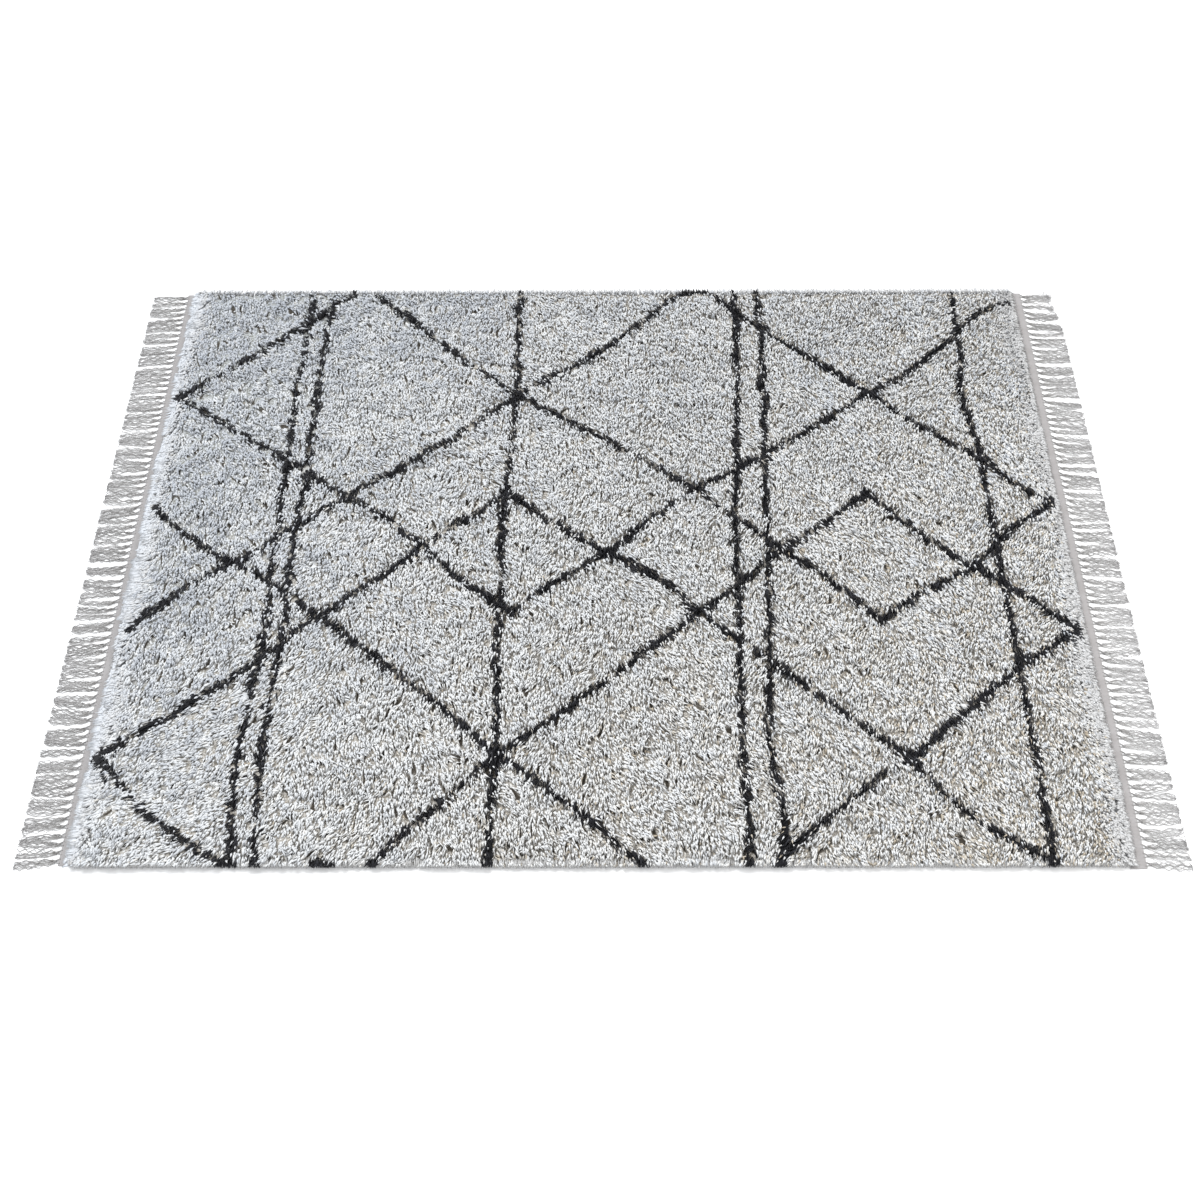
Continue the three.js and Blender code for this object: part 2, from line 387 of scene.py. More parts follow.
def rampNode(tree, value, stops):
    # stops is a list of (place, colour)
    node = tree.nodes.new("ShaderNodeValToRGB")
    ramp = node.color_ramp
    while len(ramp.elements) < len(stops):
        ramp.elements.new(0.5)
    for element, (place, colour) in zip(ramp.elements, stops):
        element.position = place
        element.color = (*colour, 1)
    tree.links.new(value, node.inputs[0])
    return node.outputs["Color"]


def twistGroup():
    # the plies of a yarn: a sine wave that slants round it as it runs along
    group, source, target = newGroup(
        "yarnTwist",
        [(label, "NodeSocketFloat", 0.0) for label in ("Along", "Across", "Turns")],
        [("Height", "NodeSocketFloat")],
    )
    turns = mathNode(group, "MULTIPLY", source.outputs["Along"], source.outputs["Turns"])
    slant = mathNode(group, "MULTIPLY", source.outputs["Across"], yarnLook["slant"])
    angle = mathNode(group, "MULTIPLY", mathNode(group, "ADD", turns, slant), 2 * math.pi)
    height = mathNode(group, "MULTIPLY_ADD", mathNode(group, "SINE", angle), 0.5, 0.5)
    group.links.new(height, target.inputs["Height"])
    return group


def weaveGroup():
    # plain weave: the product of two sine waves lifts warp and weft in turn, with a dip
    # between neighbouring threads
    group, source, target = newGroup(
        "plainWeave",
        [("Vector", "NodeSocketVector", None), ("Warp per metre", "NodeSocketFloat", 0.0),
         ("Weft per metre", "NodeSocketFloat", 0.0)],
        [("Height", "NodeSocketFloat"), ("Gap", "NodeSocketFloat")],
    )
    parts = group.nodes.new("ShaderNodeSeparateXYZ")
    group.links.new(source.outputs["Vector"], parts.inputs[0])
    waves, lifts = [], []
    for axis, threads in (("X", "Weft per metre"), ("Y", "Warp per metre")):
        place = mathNode(group, "MULTIPLY", parts.outputs[axis], source.outputs[threads])
        waves.append(mathNode(group, "SINE", mathNode(group, "MULTIPLY", place, math.pi)))
        lifts.append(mathNode(group, "ABSOLUTE", waves[-1]))
    over = mathNode(group, "MULTIPLY", *waves)
    ridge = mathNode(group, "MAXIMUM", *lifts)
    height = mathNode(group, "ADD", mathNode(group, "MULTIPLY", over, 0.5), ridge)
    group.links.new(height, target.inputs["Height"])
    # the gap share, where the woven materials paint shade between threads
    gap = mathNode(group, "SUBTRACT", 1.0, mathNode(group, "MULTIPLY", *lifts))
    group.links.new(gap, target.inputs["Gap"])
    return group


def sineSum(group, vector, waves):
    # the sum of the waves' sines, as waveSum works it out below
    total = None
    for length, angle, phase in waves:
        turn = math.radians(angle)
        dot = group.nodes.new("ShaderNodeVectorMath")
        dot.operation = "DOT_PRODUCT"
        group.links.new(vector, dot.inputs[0])
        size = 2 * math.pi / (length * mm)
        dot.inputs[1].default_value = (size * math.cos(turn), size * math.sin(turn), 0)
        wave = mathNode(group, "SINE", mathNode(group, "ADD", dot.outputs["Value"], phase))
        total = wave if total is None else mathNode(group, "ADD", total, wave)
    return total


def rangeNode(tree, value, low, high, start=0.0, end=1.0):
    # start below low, end above high and an S curve between
    node = tree.nodes.new("ShaderNodeMapRange")
    node.interpolation_type = "SMOOTHSTEP"
    for label, number in (("From Min", low), ("From Max", high), ("To Min", start), ("To Max", end)):
        node.inputs[label].default_value = number
    tree.links.new(value, node.inputs["Value"])
    return node.outputs["Result"]


def partingGroup():
    # 1 on the open partings, where the bed takes its painted shade: where the first sum of waves is near 0
    # and the second is high
    group, source, target = newGroup(
        "pileParting", [("Vector", "NodeSocketVector", None)], [("Share", "NodeSocketFloat")]
    )
    place = source.outputs["Vector"]
    away = mathNode(group, "ABSOLUTE", sineSum(group, place, partingWaves))
    near = rangeNode(group, away, *partingLook["dark"], 1.0, 0.0)
    second = sineSum(group, place, openWaves)
    opened = rangeNode(group, second, partingLook["openFrom"], partingLook["openTo"])
    group.links.new(mathNode(group, "MULTIPLY", near, opened), target.inputs["Share"])
    return group


groups = {"twist": twistGroup(), "weave": weaveGroup(), "parting": partingGroup()}


def newMaterial(name, roughness, sheen):
    material = bpy.data.materials.new(name)
    material.use_nodes = True
    tree = material.node_tree
    shader = tree.nodes["Principled BSDF"]
    shader.inputs["Roughness"].default_value = roughness
    shader.inputs["Specular IOR Level"].default_value = yarnLook["specular"]
    shader.inputs["Sheen Weight"].default_value = sheen
    shader.inputs["Sheen Roughness"].default_value = yarnLook["sheenRoughness"]
    return material, tree, shader


def groupNode(tree, key, **links):
    node = tree.nodes.new("ShaderNodeGroup")
    node.node_tree = groups[key]
    for label, value in links.items():
        socket = node.inputs[label.replace("_", " ")]
        if isinstance(value, (int, float)):
            socket.default_value = value
        else:
            tree.links.new(value, socket)
    return node


def bumpNode(tree, height, strength, distance):
    node = tree.nodes.new("ShaderNodeBump")
    node.inputs["Strength"].default_value = strength
    node.inputs["Distance"].default_value = distance
    tree.links.new(height, node.inputs["Height"])
    return node.outputs["Normal"]


def attributeNode(tree, name):
    node = tree.nodes.new("ShaderNodeAttribute")
    node.attribute_name = name
    return node.outputs["Fac"]


def mapParts(tree):
    # the two parts of the piece's own map
    node = tree.nodes.new("ShaderNodeUVMap")
    node.uv_map = rugMap
    parts = tree.nodes.new("ShaderNodeSeparateXYZ")
    tree.links.new(node.outputs["UV"], parts.inputs[0])
    return parts.outputs["X"], parts.outputs["Y"]


def yarnMaterial(name, tones, lengths, turns=5.0, roughness=0.85, sheen=0.15):
    # the map's first part picks the yarn's own tone, and its second is 0 at the root and 1 at the tip; the
    # second ramp paints shade, darker towards the root deep in the pile and full at the tip, where the
    # light reaches
    material, tree, shader = newMaterial(name, roughness, sheen)
    tone, along = mapParts(tree)
    colour = mixColour(tree, 1.0, rampNode(tree, tone, tones), rampNode(tree, along, lengths), "MULTIPLY")
    tree.links.new(colour, shader.inputs["Base Color"])
    twist = groupNode(tree, "twist", Along=along, Across=tone, Turns=turns)
    bump = bumpNode(tree, twist.outputs["Height"], yarnLook["bump"], yarnLook["bumpDepth"])
    tree.links.new(bump, shader.inputs["Normal"])
    return material


# Pile tufts: each is a closed lock of cut yarn. It leaves the ground upright, bends over and
# lies on its neighbours, widest at its bend.
pileLook = {
    "spacing": 4.85 * mm,
    "stray": 0.45,  # of the spacing
    "endInset": 9 * mm,  # of the roots from the pile's ends and long sides
    "sideInset": 10 * mm,
    "rootHeight": 3 * mm,
    "tipHeight": 20.5 * mm,
    "lowest": 8 * mm,
    "highest": 25.5 * mm,
    "swell": 1.9 * mm,  # the field's gentle lumps
    "swellSize": 95 * mm,
    "rough": 1 * mm,  # from tip to tip
    "lean": 22 * mm,  # from root to tip
    "leanRange": (0.6, 1.3),
    "rimLean": 0.75,  # the share of the lean and of the gathering that is lost at the rim
    "rimGather": 0.7,
    "handleShare": 0.30,  # of the lean: the place of the curve's middle handle
    "handleRise": 8.5 * mm,  # over the tip
    "turnOwn": 15,  # degrees by which a yarn lies askew, by itself and with its neighbours
    "turnPatch": 30,
    "turnPatchSize": 62 * mm,
    "turnTrend": 22,
    "turnTrendSize": 210 * mm,
    "trendSoftness": 0.02,  # square metres
    "clump": 34 * mm,  # yarns that lie over together
    "clumpStretch": 0.62,  # a clump's width along the rug over its length across it
    "clumpTurn": 16,
    "clumpRise": 4.8 * mm,
    "clumpFall": 1.2,  # shares of the rise by which it falls a whole size off its middle
    "stitch": 9 * mm,  # neighbours that are dyed alike
    "lock": 17 * mm,  # a few yarns whose tips draw together
    "lockGather": 0.32,
    "lockRise": 3.6 * mm,
    "lockFall": 2,  # the same for a lock
    "halfWidth": 1.8 * mm,
    "halfRange": (0.75, 1.25),
    "endWider": 0.45,  # yarns along the short ends, and where the pile is calm
    "calmWider": 0.35,
    "roll": 22,  # degrees
    "lowShare": 0.30,  # the yarn's modelled stretch: its point, bend and tip on the curve
    "bendShare": 0.62,
    "visibleShare": 0.52,  # of the lean: the middle of what shows of a yarn
    "endZone": 42 * mm,
    "endZoneRange": (0.1, 1.5),  # the shares of the zone between which the pile changes
    "endUneven": 0.45,
    "endUnevenSize": 130 * mm,
    "endSink": 3 * mm,
    "endRound": 32 * mm,
    "endFall": 3.8 * mm,
    "leftLean": 24 * mm,
    "rightLean": 17 * mm,
    "leftReach": 13 * mm,  # of the tips past the pile's own ends, over the bands
    "rightReach": 11.5 * mm,
    "endExtra": 46 * mm,  # the width of the rows with twice the tufts
    "sideZone": 20 * mm,
    "farLean": 14 * mm,
    "nearLean": 14 * mm,
    "farLift": 4 * mm,  # of the yarns along the far side
    "nearFall": 6 * mm,
    "farReach": 15 * mm,  # of the tips past the long sides
    "nearReach": 3 * mm,
    "nearSkew": 4 * mm,  # the near side swings away by this at the right end, and out at the left
}
# The pile is calm, flatter and closer, towards the far left: the slopes are per metre
calmLook = {"alongSlope": -0.9, "awaySlope": 0.35, "from": -0.3, "to": 1.2}
# For each uneven trait: the share that is lost along the short ends, its factor where the pile
# is restless, and what a calm pile takes off that factor
traits = {"relief": (0.7, 1.0, 0.25), "rough": (0.6, 1.35, 1.0), "roll": (0.8, 1.25, 0.85)}
# The way the pile lies over: a place on the rug, and degrees from +X
pileTrend = [
    (-0.90, 0.55, -62), (-0.90, -0.60, -122), (-0.30, 0.50, -74), (-0.20, -0.40, -88),
    (0.50, 0.30, -78), (0.60, -0.50, -82), (1.00, 0.50, -118), (1.00, -0.50, -94),
]
# A tuft's tone runs from 0, warm and dark, past the palest to 1, cool and dark. Painted cool light moves
# it towards 1 on the left and far side, and painted shade towards 0 beside partings and at the edges of
# locks.
toneLook = {
    "middle": 0.57,
    "coolLightLeft": 0.24,  # painted light, per metre: cooler towards the left of the middle and warmer towards the right of it
    "warmLightRight": 0.07,
    # painted cool light towards the far side, per metre
    "coolLightFar": 0.14,
    "patch": 0.06,
    "patchSize": 120 * mm,
    "lock": 0.17,
    # painted shade: how far the tone falls towards a lock's edge, where the lock dips
    "lockEdgeShade": 0.22,
    "clump": 0.12,
    "single": 0.075,
    "singleGain": 1.7,  # per metre towards the right
    "singleFrom": -0.35,
    "oddShare": 0.02,  # of single warm tufts
    "oddFall": 0.40,
    "charcoalRange": (0.05, 0.95),
    "charcoalPower": 1.5,
    "limits": (0.01, 0.99),
}
# Tufts are of the pale kind where the share of end is above from, give or take stray. Their tone rises
# with that share and grows cooler, much faster at the left end, which is painted cool light from the left
paleLook = {"from": 0.45, "stray": 0.25, "tone": 0.08, "leftGain": 0.72, "rightGain": 0.30, "single": 0.05}
ivoryTones = [
    (0.00, (0.43, 0.37, 0.285)), (0.15, (0.56, 0.53, 0.475)), (0.33, (0.735, 0.732, 0.72)),
    (0.60, (0.675, 0.687, 0.697)), (0.80, (0.495, 0.515, 0.545)), (1.00, (0.42, 0.445, 0.485)),
]
endTones = [
    (0.00, (0.44, 0.435, 0.425)), (0.12, (0.51, 0.505, 0.50)), (0.42, (0.57, 0.572, 0.575)),
    (1.00, (0.60, 0.635, 0.69)),
]
# Painted shade along an ivory or end yarn: dark towards the root, deep in the pile, and full at the tip
ivoryRootShade = [
    (0.00, (0.72, 0.69, 0.645)), (0.30, (0.92, 0.905, 0.885)), (0.55, (0.98, 0.98, 0.98)),
    (1.00, (1, 1, 1)),
]
endRootShade = [(0.00, (0.90, 0.90, 0.90)), (0.55, (0.98, 0.98, 0.98)), (1.00, (1, 1, 1))]
charcoalTones = [
    (0.00, (0.006, 0.006, 0.008)), (0.60, (0.012, 0.012, 0.015)), (1.00, (0.042, 0.043, 0.052)),
]
# Painted shade along a charcoal yarn, darker towards its root
charcoalRootShade = [(0.00, (0.4, 0.4, 0.4)), (0.50, (0.85, 0.85, 0.85)), (1.00, (1, 1, 1))]


def waveSum(x, y, waves):
    # the sum of the waves' sines, and its slope along x and y
    total, slope = np.zeros(len(x)), np.zeros((len(x), 2))
    for length, angle, phase in waves:
        turn = math.radians(angle)
        way = np.array([math.cos(turn), math.sin(turn)]) * 2 * math.pi / (length * mm)
        argument = x * way[0] + y * way[1] + phase
        total += np.sin(argument)
        slope += np.cos(argument)[:, None] * way
    return total, slope


def charcoalTone(rng, count):
    # most charcoal yarns are near the dark end
    return rng.uniform(*toneLook["charcoalRange"], count) ** toneLook["charcoalPower"]


def nearSkew(points):
    # the near side isn't quite square to the ends
    share = blendBetween(0, rugSize["halfDepth"], -points[:, 1])
    points[:, 1] += pileLook["nearSkew"] * share * points[:, 0] / rugSize["pileHalfLength"]


def openShare(x, y):
    # 1 where partings are wide open, falling to 0
    return blendBetween(partingLook["openFrom"], partingLook["openTo"], waveSum(x, y, openWaves)[0])


def squaredSlope(slope):
    # never 0, as steps are divided by it
    return (slope**2).sum(1) + partingLook["leastSlope"] ** 2


def keepOffPartings(points, side):
    # a point too near a parting, or past it, steps along the sum's slope to its own side
    total, slope = waveSum(points[:, 0], points[:, 1], partingWaves)
    wanted = partingLook["opening"] * openShare(points[:, 0], points[:, 1])
    short = np.where(wanted > partingLook["least"], np.maximum(wanted - side * total, 0), 0)
    step = (side * short / squaredSlope(slope))[:, None] * slope
    length = np.linalg.norm(step, axis=1)[:, None] + leastLength
    moved = points.copy()
    moved[:, :2] += step * np.minimum(1, partingLook["largestStep"] / length)
    return moved


squareKeys = (7919.0, 104.729)  # no two squares of the rug get the same number from these


def nearestPlace(x, y, size, salt):
    # one stray place in each square of this size: the nearest, and its number from 0 to 1
    i, j = np.floor(x / size).astype(int), np.floor(y / size).astype(int)
    best = np.full(x.shape, np.inf)
    place = np.zeros((len(x), 2))
    number = np.zeros(len(x))
    for di in (-1, 0, 1):
        for dj in (-1, 0, 1):
            key = (i + di) * squareKeys[0] + (j + dj) * squareKeys[1]
            px = (i + di + chance(key, salt)) * size
            py = (j + dj + chance(key, salt + 1)) * size
            away = np.hypot(px - x, py - y)
            closer = away < best
            best = np.where(closer, away, best)
            place[closer] = np.stack([px, py], 1)[closer]
            number = np.where(closer, chance(key, salt + 2), number)
    return place, number


def lyingYarns(low, bend, tip, half, roll, tone):
    # a point down in the pile, two corners either side of the bend and a point at the tip; the
    # map's first part is the tone and its second runs from 0 at the root to 1 at the tip
    count = len(low)
    side = np.cross(tip - low, [0.0, 0.0, 1.0]) + sideNudge
    side /= np.linalg.norm(side, axis=1)[:, None]
    side = side * np.cos(roll)[:, None]
    side[:, 2] += np.sin(roll)
    points = np.stack([low, bend + side * half[:, None], tip, bend - side * half[:, None]], 1)
    uv = np.empty((count, 4, 2))
    uv[:, :, 0] = tone[:, None] + mapLook["tuftSpread"] * np.array([0, 1, 0, -1])
    uv[:, :, 1] = [mapLook[key] for key in ("root", "bend", "tip", "bend")]
    corners = np.array([[0, 1, 3], [1, 2, 3], [0, 2, 1], [0, 3, 2]])
    faces = (np.arange(count)[:, None, None] * 4 + corners).reshape(-1, 3)
    return points.reshape(-1, 3), [faces], uv.reshape(-1, 2)


def tuftRoots(rng):
    # the corners of even triangles, each root strayed a little, with twice as many at the ends
    step = pileLook["spacing"]
    halfX = rugSize["pileHalfLength"] - pileLook["endInset"]
    halfY = rugSize["halfDepth"] - pileLook["sideInset"]
    x, y = np.meshgrid(np.arange(-halfX, halfX, step), np.arange(-halfY, halfY, step * math.sqrt(0.75)))
    x = x + (np.arange(len(x)) % 2)[:, None] * step / 2
    stray = pileLook["stray"] * step
    x = x.ravel() + rng.uniform(-stray, stray, x.size)
    y = y.ravel() + rng.uniform(-stray, stray, y.size)
    again = np.abs(x) > halfX - pileLook["endExtra"]
    x = np.concatenate([x, x[again] + rng.uniform(-step, step, again.sum())])
    y = np.concatenate([y, y[again] + rng.uniform(-step, step, again.sum())])
    inside = (np.abs(x) < halfX) & (np.abs(y) < halfY)
    return x[inside], y[inside]


def endShares(x, y):
    # 1 at the pile's short ends and long sides, falling to 0 over an uneven zone
    uneven = pileLook["endUneven"] * noise(y, x, pileLook["endUnevenSize"], seeds["endZone"])
    fromEnd = (rugSize["pileHalfLength"] - np.abs(x)) / (pileLook["endZone"] * (1 + uneven))
    fromSide = (rugSize["halfDepth"] - np.abs(y)) / pileLook["sideZone"]
    return 1 - blendBetween(*pileLook["endZoneRange"], fromEnd), 1 - blendBetween(0, 1, fromSide)


def calmAt(x, y):
    # 1 towards the far left to 0 on the right
    rise = calmLook["awaySlope"] * y + calmLook["alongSlope"] * x
    return blendBetween(calmLook["from"], calmLook["to"], rise)


def traitLeft(name, atEnd, calm):
    # how much of an uneven trait is left here
    endLoss, full, calmLoss = traits[name]
    return (1 - endLoss * atEnd) * (full - calmLoss * calm)


def swellAt(x, y):
    # the height of the pile's gentle lumps
    return pileLook["swell"] * noise(x, y, pileLook["swellSize"], seeds["swell"])


def lieOver(x, y):
    # the way in which a yarn lies over with its neighbours, in degrees from +X: the angles of
    # the trend's places, blended by the inverse square of how far off they are, and two noises
    total, weights = np.zeros(len(x)), np.zeros(len(x))
    for placeX, placeY, angle in pileTrend:
        weight = 1 / ((x - placeX) ** 2 + (y - placeY) ** 2 + pileLook["trendSoftness"])
        total += weight * angle
        weights += weight
    turn = total / weights
    turn += pileLook["turnTrend"] * noise(x, y, pileLook["turnTrendSize"], seeds["trend"])
    return turn + pileLook["turnPatch"] * noise(x, y, pileLook["turnPatchSize"], seeds["patch"])


def clumpAt(x, y):
    # the clump's own number, 0 to 1, and how far off its middle is, as a share of its size
    stretch = np.array([1, pileLook["clumpStretch"]])
    middle, number = nearestPlace(x, y * stretch[1], pileLook["clump"], seeds["clump"])
    return number, np.linalg.norm(middle / stretch - np.stack([x, y], 1), axis=1) / pileLook["clump"]


def clumpRise(number, away, relief):
    # each clump is a low dome
    return pileLook["clumpRise"] * (number - pileLook["clumpFall"] * away**2) * relief


def pileAt(x, y):
    # what the pile is like at each root: how near the ends, sides and rim it is, how calm, its
    # clump and lock, the side of the partings it is on, and 1 beside an open one
    atEnd, atSide = endShares(x, y)
    atRim = np.maximum(atEnd, atSide)
    clump, fromClump = clumpAt(x, y)
    lock, number = nearestPlace(x, y, pileLook["lock"], seeds["lock"])
    toLock = lock - np.stack([x, y], 1)
    total, slope = waveSum(x, y, partingWaves)
    border = np.abs(total) / np.sqrt(squaredSlope(slope))
    beside = openShare(x, y) * (1 - atRim) * np.exp(-((border / partingLook["reach"]) ** 2))
    return {
        "atEnd": atEnd, "atSide": atSide, "atRim": atRim, "calm": calmAt(x, y),
        "clump": clump, "fromClump": fromClump, "lock": number, "toLock": toLock,
        "fromLock": np.linalg.norm(toLock, axis=1) / pileLook["lock"],
        "side": np.where(total < 0, -1.0, 1.0), "beside": beside,
    }


def tuftLean(rng, x, y, pile):
    # the way from root to tip: the yarn's own, its clump's and its lock's, outwards at the rim
    look = pileLook
    angle = lieOver(x, y) + look["clumpTurn"] * (2 * pile["clump"] - 1)
    angle = np.radians(angle + look["turnOwn"] * rng.normal(0, 1, len(x)))
    length = look["lean"] * rng.uniform(*look["leanRange"], len(x))
    length *= 1 - look["rimLean"] * pile["atRim"]
    lean = length[:, None] * np.stack([np.cos(angle), np.sin(angle)], 1)
    gather = look["lockGather"] * (1 - look["rimGather"] * pile["atRim"])
    lean += gather[:, None] * pile["toLock"]
    lean[:, 0] += pile["atEnd"] * np.sign(x) * np.where(x < 0, look["leftLean"], look["rightLean"])
    lean[:, 1] += pile["atSide"] * np.where(y > 0, look["farLean"], -look["nearLean"])
    return lean


def tuftHeight(rng, x, y, pile):
    # a tip's height: swells, locks and clumps, lower beside partings and round the rim
    look, atEnd, calm = pileLook, pile["atEnd"], pile["calm"]
    relief = traitLeft("relief", atEnd, calm)
    height = look["tipHeight"] + swellAt(x, y)
    height += look["rough"] * rng.normal(0, 1, len(x)) * traitLeft("rough", atEnd, calm)
    height += look["lockRise"] * (pile["lock"] - look["lockFall"] * pile["fromLock"] ** 2) * relief
    height += clumpRise(pile["clump"], pile["fromClump"], relief)
    height -= partingLook["sink"] * pile["beside"]
    sideLift = np.where(y > 0, look["farLift"], -look["nearFall"])
    height += np.where(pile["atSide"] > atEnd, sideLift, -look["endSink"]) * pile["atRim"] ** 2
    toEnd = (rugSize["pileHalfLength"] - np.abs(x)) / look["endRound"]
    height -= look["endFall"] * (1 - blendBetween(0, 1, toEnd))
    return np.clip(height, look["lowest"], look["highest"])


def isCharcoal(rng, shown):
    # a yarn is dyed with its stitch, where that lies in a line, give or take a little
    stitch, number = nearestPlace(*shown[:, :2].T, pileLook["stitch"], seeds["stitch"])
    inside = inkAt(*stitch.T) + lineLook["stitchFray"] * (2 * number - 1)
    inside += lineLook["yarnFray"] * rng.normal(0, 1, len(shown))
    return (inside > 0) & (rng.uniform(0, 1, len(shown)) > lineLook["missed"])


def tuftTone(rng, x, y, pile, ink):
    # patches, locks, clumps and single tufts; painted cool light on the left and far side, painted shade
    # beside partings and at lock edges; cool and pale along the short ends
    look, count = toneLook, len(x)
    tone = look["middle"] - np.where(x < 0, look["coolLightLeft"], look["warmLightRight"]) * x
    tone += look["coolLightFar"] * y + look["patch"] * noise(x, y, look["patchSize"], seeds["tone"])
    tone += look["lock"] * (pile["lock"] - 0.5) + look["clump"] * (pile["clump"] - 0.5)
    tone -= look["lockEdgeShade"] * pile["fromLock"] ** 2
    single = 1 + look["singleGain"] * np.clip(x, look["singleFrom"], 1)
    tone += rng.normal(0, look["single"], count) * single
    odd = rng.uniform(0, 1, count) < look["oddShare"]
    # painted shade: tufts beside an open parting fall in tone
    tone = np.where(odd, tone - look["oddFall"], tone) - partingLook["shade"] * pile["beside"]
    limit = paleLook["from"] + paleLook["stray"] * rng.normal(0, 1, count)
    pale = (pile["atEnd"] > limit) & ~ink
    gain = np.where(x < 0, paleLook["leftGain"], paleLook["rightGain"])
    paleTone = paleLook["tone"] + gain * pile["atEnd"] + rng.normal(0, paleLook["single"], count)
    tone = np.clip(np.where(pale, paleTone, tone), *look["limits"])
    return np.where(ink, charcoalTone(rng, count), tone), pale


def tuftField():
    rng = randomFor("tuft field")
    x, y = tuftRoots(rng)
    count = len(x)
    pile = pileAt(x, y)
    atEnd, calm = pile["atEnd"], pile["calm"]
    lean = tuftLean(rng, x, y, pile)
    height = tuftHeight(rng, x, y, pile)
    halfX, halfY = rugSize["pileHalfLength"], rugSize["halfDepth"]
    limits = -halfY - pileLook["nearReach"], halfY + pileLook["farReach"]
    root = np.stack([x, y, np.full(count, pileLook["rootHeight"])], 1)
    tip = np.column_stack([root[:, :2] + lean, height])
    tip[:, 0] = np.clip(tip[:, 0], -halfX - pileLook["leftReach"], halfX + pileLook["rightReach"])
    tip[:, 1] = np.clip(tip[:, 1], *limits)
    handle = root + pileLook["handleShare"] * (tip - root)
    handle[:, 2] = height + pileLook["handleRise"]

    def onPath(t):
        # a curve from the root past a middle handle to the tip
        return root * (1 - t) ** 2 + handle * 2 * t * (1 - t) + tip * t**2

    low, bend = onPath(pileLook["lowShare"]), onPath(pileLook["bendShare"])
    low, bend, tip = (keepOffPartings(points, pile["side"]) for points in (low, bend, tip))
    half = pileLook["halfWidth"] * rng.uniform(*pileLook["halfRange"], count)
    half *= 1 + pileLook["endWider"] * atEnd + pileLook["calmWider"] * calm
    roll = np.radians(pileLook["roll"] * rng.normal(0, 1, count)) * traitLeft("roll", atEnd, calm)
    ink = isCharcoal(rng, root + pileLook["visibleShare"] * (tip - root))
    longer = lineLook["longer"] * rng.uniform(0, 1, count) ** 2
    tip[ink, :2] += (longer[:, None] * lean)[ink] + rng.normal(0, lineLook["stray"], (ink.sum(), 2))
    tip[:, 1] = np.clip(tip[:, 1], *limits)
    inkLimit = halfX - lineLook["endGap"]
    tip[ink, 0] = np.clip(tip[ink, 0], -inkLimit, inkLimit)
    half[ink] *= lineLook["thinner"]
    for points in (low, bend, tip):
        nearSkew(points)
    tone, pale = tuftTone(rng, x, y, pile, ink)
    facts = {"low": low, "bend": bend, "tip": tip, "half": half, "roll": roll, "tone": tone}
    return facts, ink, pale


# Rim tufts: yarns that hang out of the pile's wall all round, in rows one above another
rimLook = {
    "spacing": 5 * mm,
    "rows": (5.5 * mm, 9 * mm, 12.5 * mm, 16 * mm),
    "cornerGap": 6 * mm,
    "sideInset": 3.5 * mm,  # of the long sides' rows from the rug's edge
    "startInset": 15 * mm,
    "startRise": 2 * mm,
    "bendInset": 3.5 * mm,
    "bendRise": 1 * mm,
    "bendSlide": 0.5,  # the bend's share of the slide
    "slide": 2.8 * mm,  # of a tip along the rim
    "fall": 7 * mm,
    "fallRange": (0.5, 1.3),
    "sideRise": 2.5 * mm,  # of the rows along the long sides
    "lowestAtEnd": 4.4 * mm,  # over the band
    "lowestAtSide": 1.4 * mm,
    "lowestStray": 1.5 * mm,
    "endExtra": 1.5 * mm,  # of the longest tips past the field's at the short ends
    "endLeast": 0.3,  # the shortest tips' share of that reach
    "nearUneven": 2 * mm,  # how much the tips' reach differs past each long side
    "farUneven": 5 * mm,
    "unevenMiddle": 0.6,
    "halfWidth": 2.2 * mm,
    "roll": 25,  # degrees
    "tone": 0.26,
    "toneSingle": 0.12,
    "paintedLightLeft": 0.16,  # painted light: how much paler and cooler the rim is at the left end and on the far side, and how much darker at the right end and on the near side
    "paintedLightFar": 0.2,
}


def rimRows():
    # the rim's foot: even places round the edge in rows one above another, the way out from
    # each, and its height
    halfX, halfY = rugSize["pileHalfLength"], rugSize["halfDepth"] - rimLook["sideInset"]
    starts, outs = [], []
    for sign in (-1, 1):
        y, x = (
            np.arange(rimLook["cornerGap"] - half, half - rimLook["cornerGap"], rimLook["spacing"])
            for half in (halfY, halfX)
        )
        starts += [np.stack([np.full(len(y), sign * halfX), y], 1)]
        starts += [np.stack([x, np.full(len(x), sign * halfY)], 1)]
        outs += [np.tile([sign, 0.0], (len(y), 1)), np.tile([0.0, sign], (len(x), 1))]
    rows = len(rimLook["rows"])
    edge, out = np.tile(np.concatenate(starts), (rows, 1)), np.tile(np.concatenate(outs), (rows, 1))
    return edge, out, np.repeat(rimLook["rows"], len(edge) // rows), np.array([halfX, halfY])


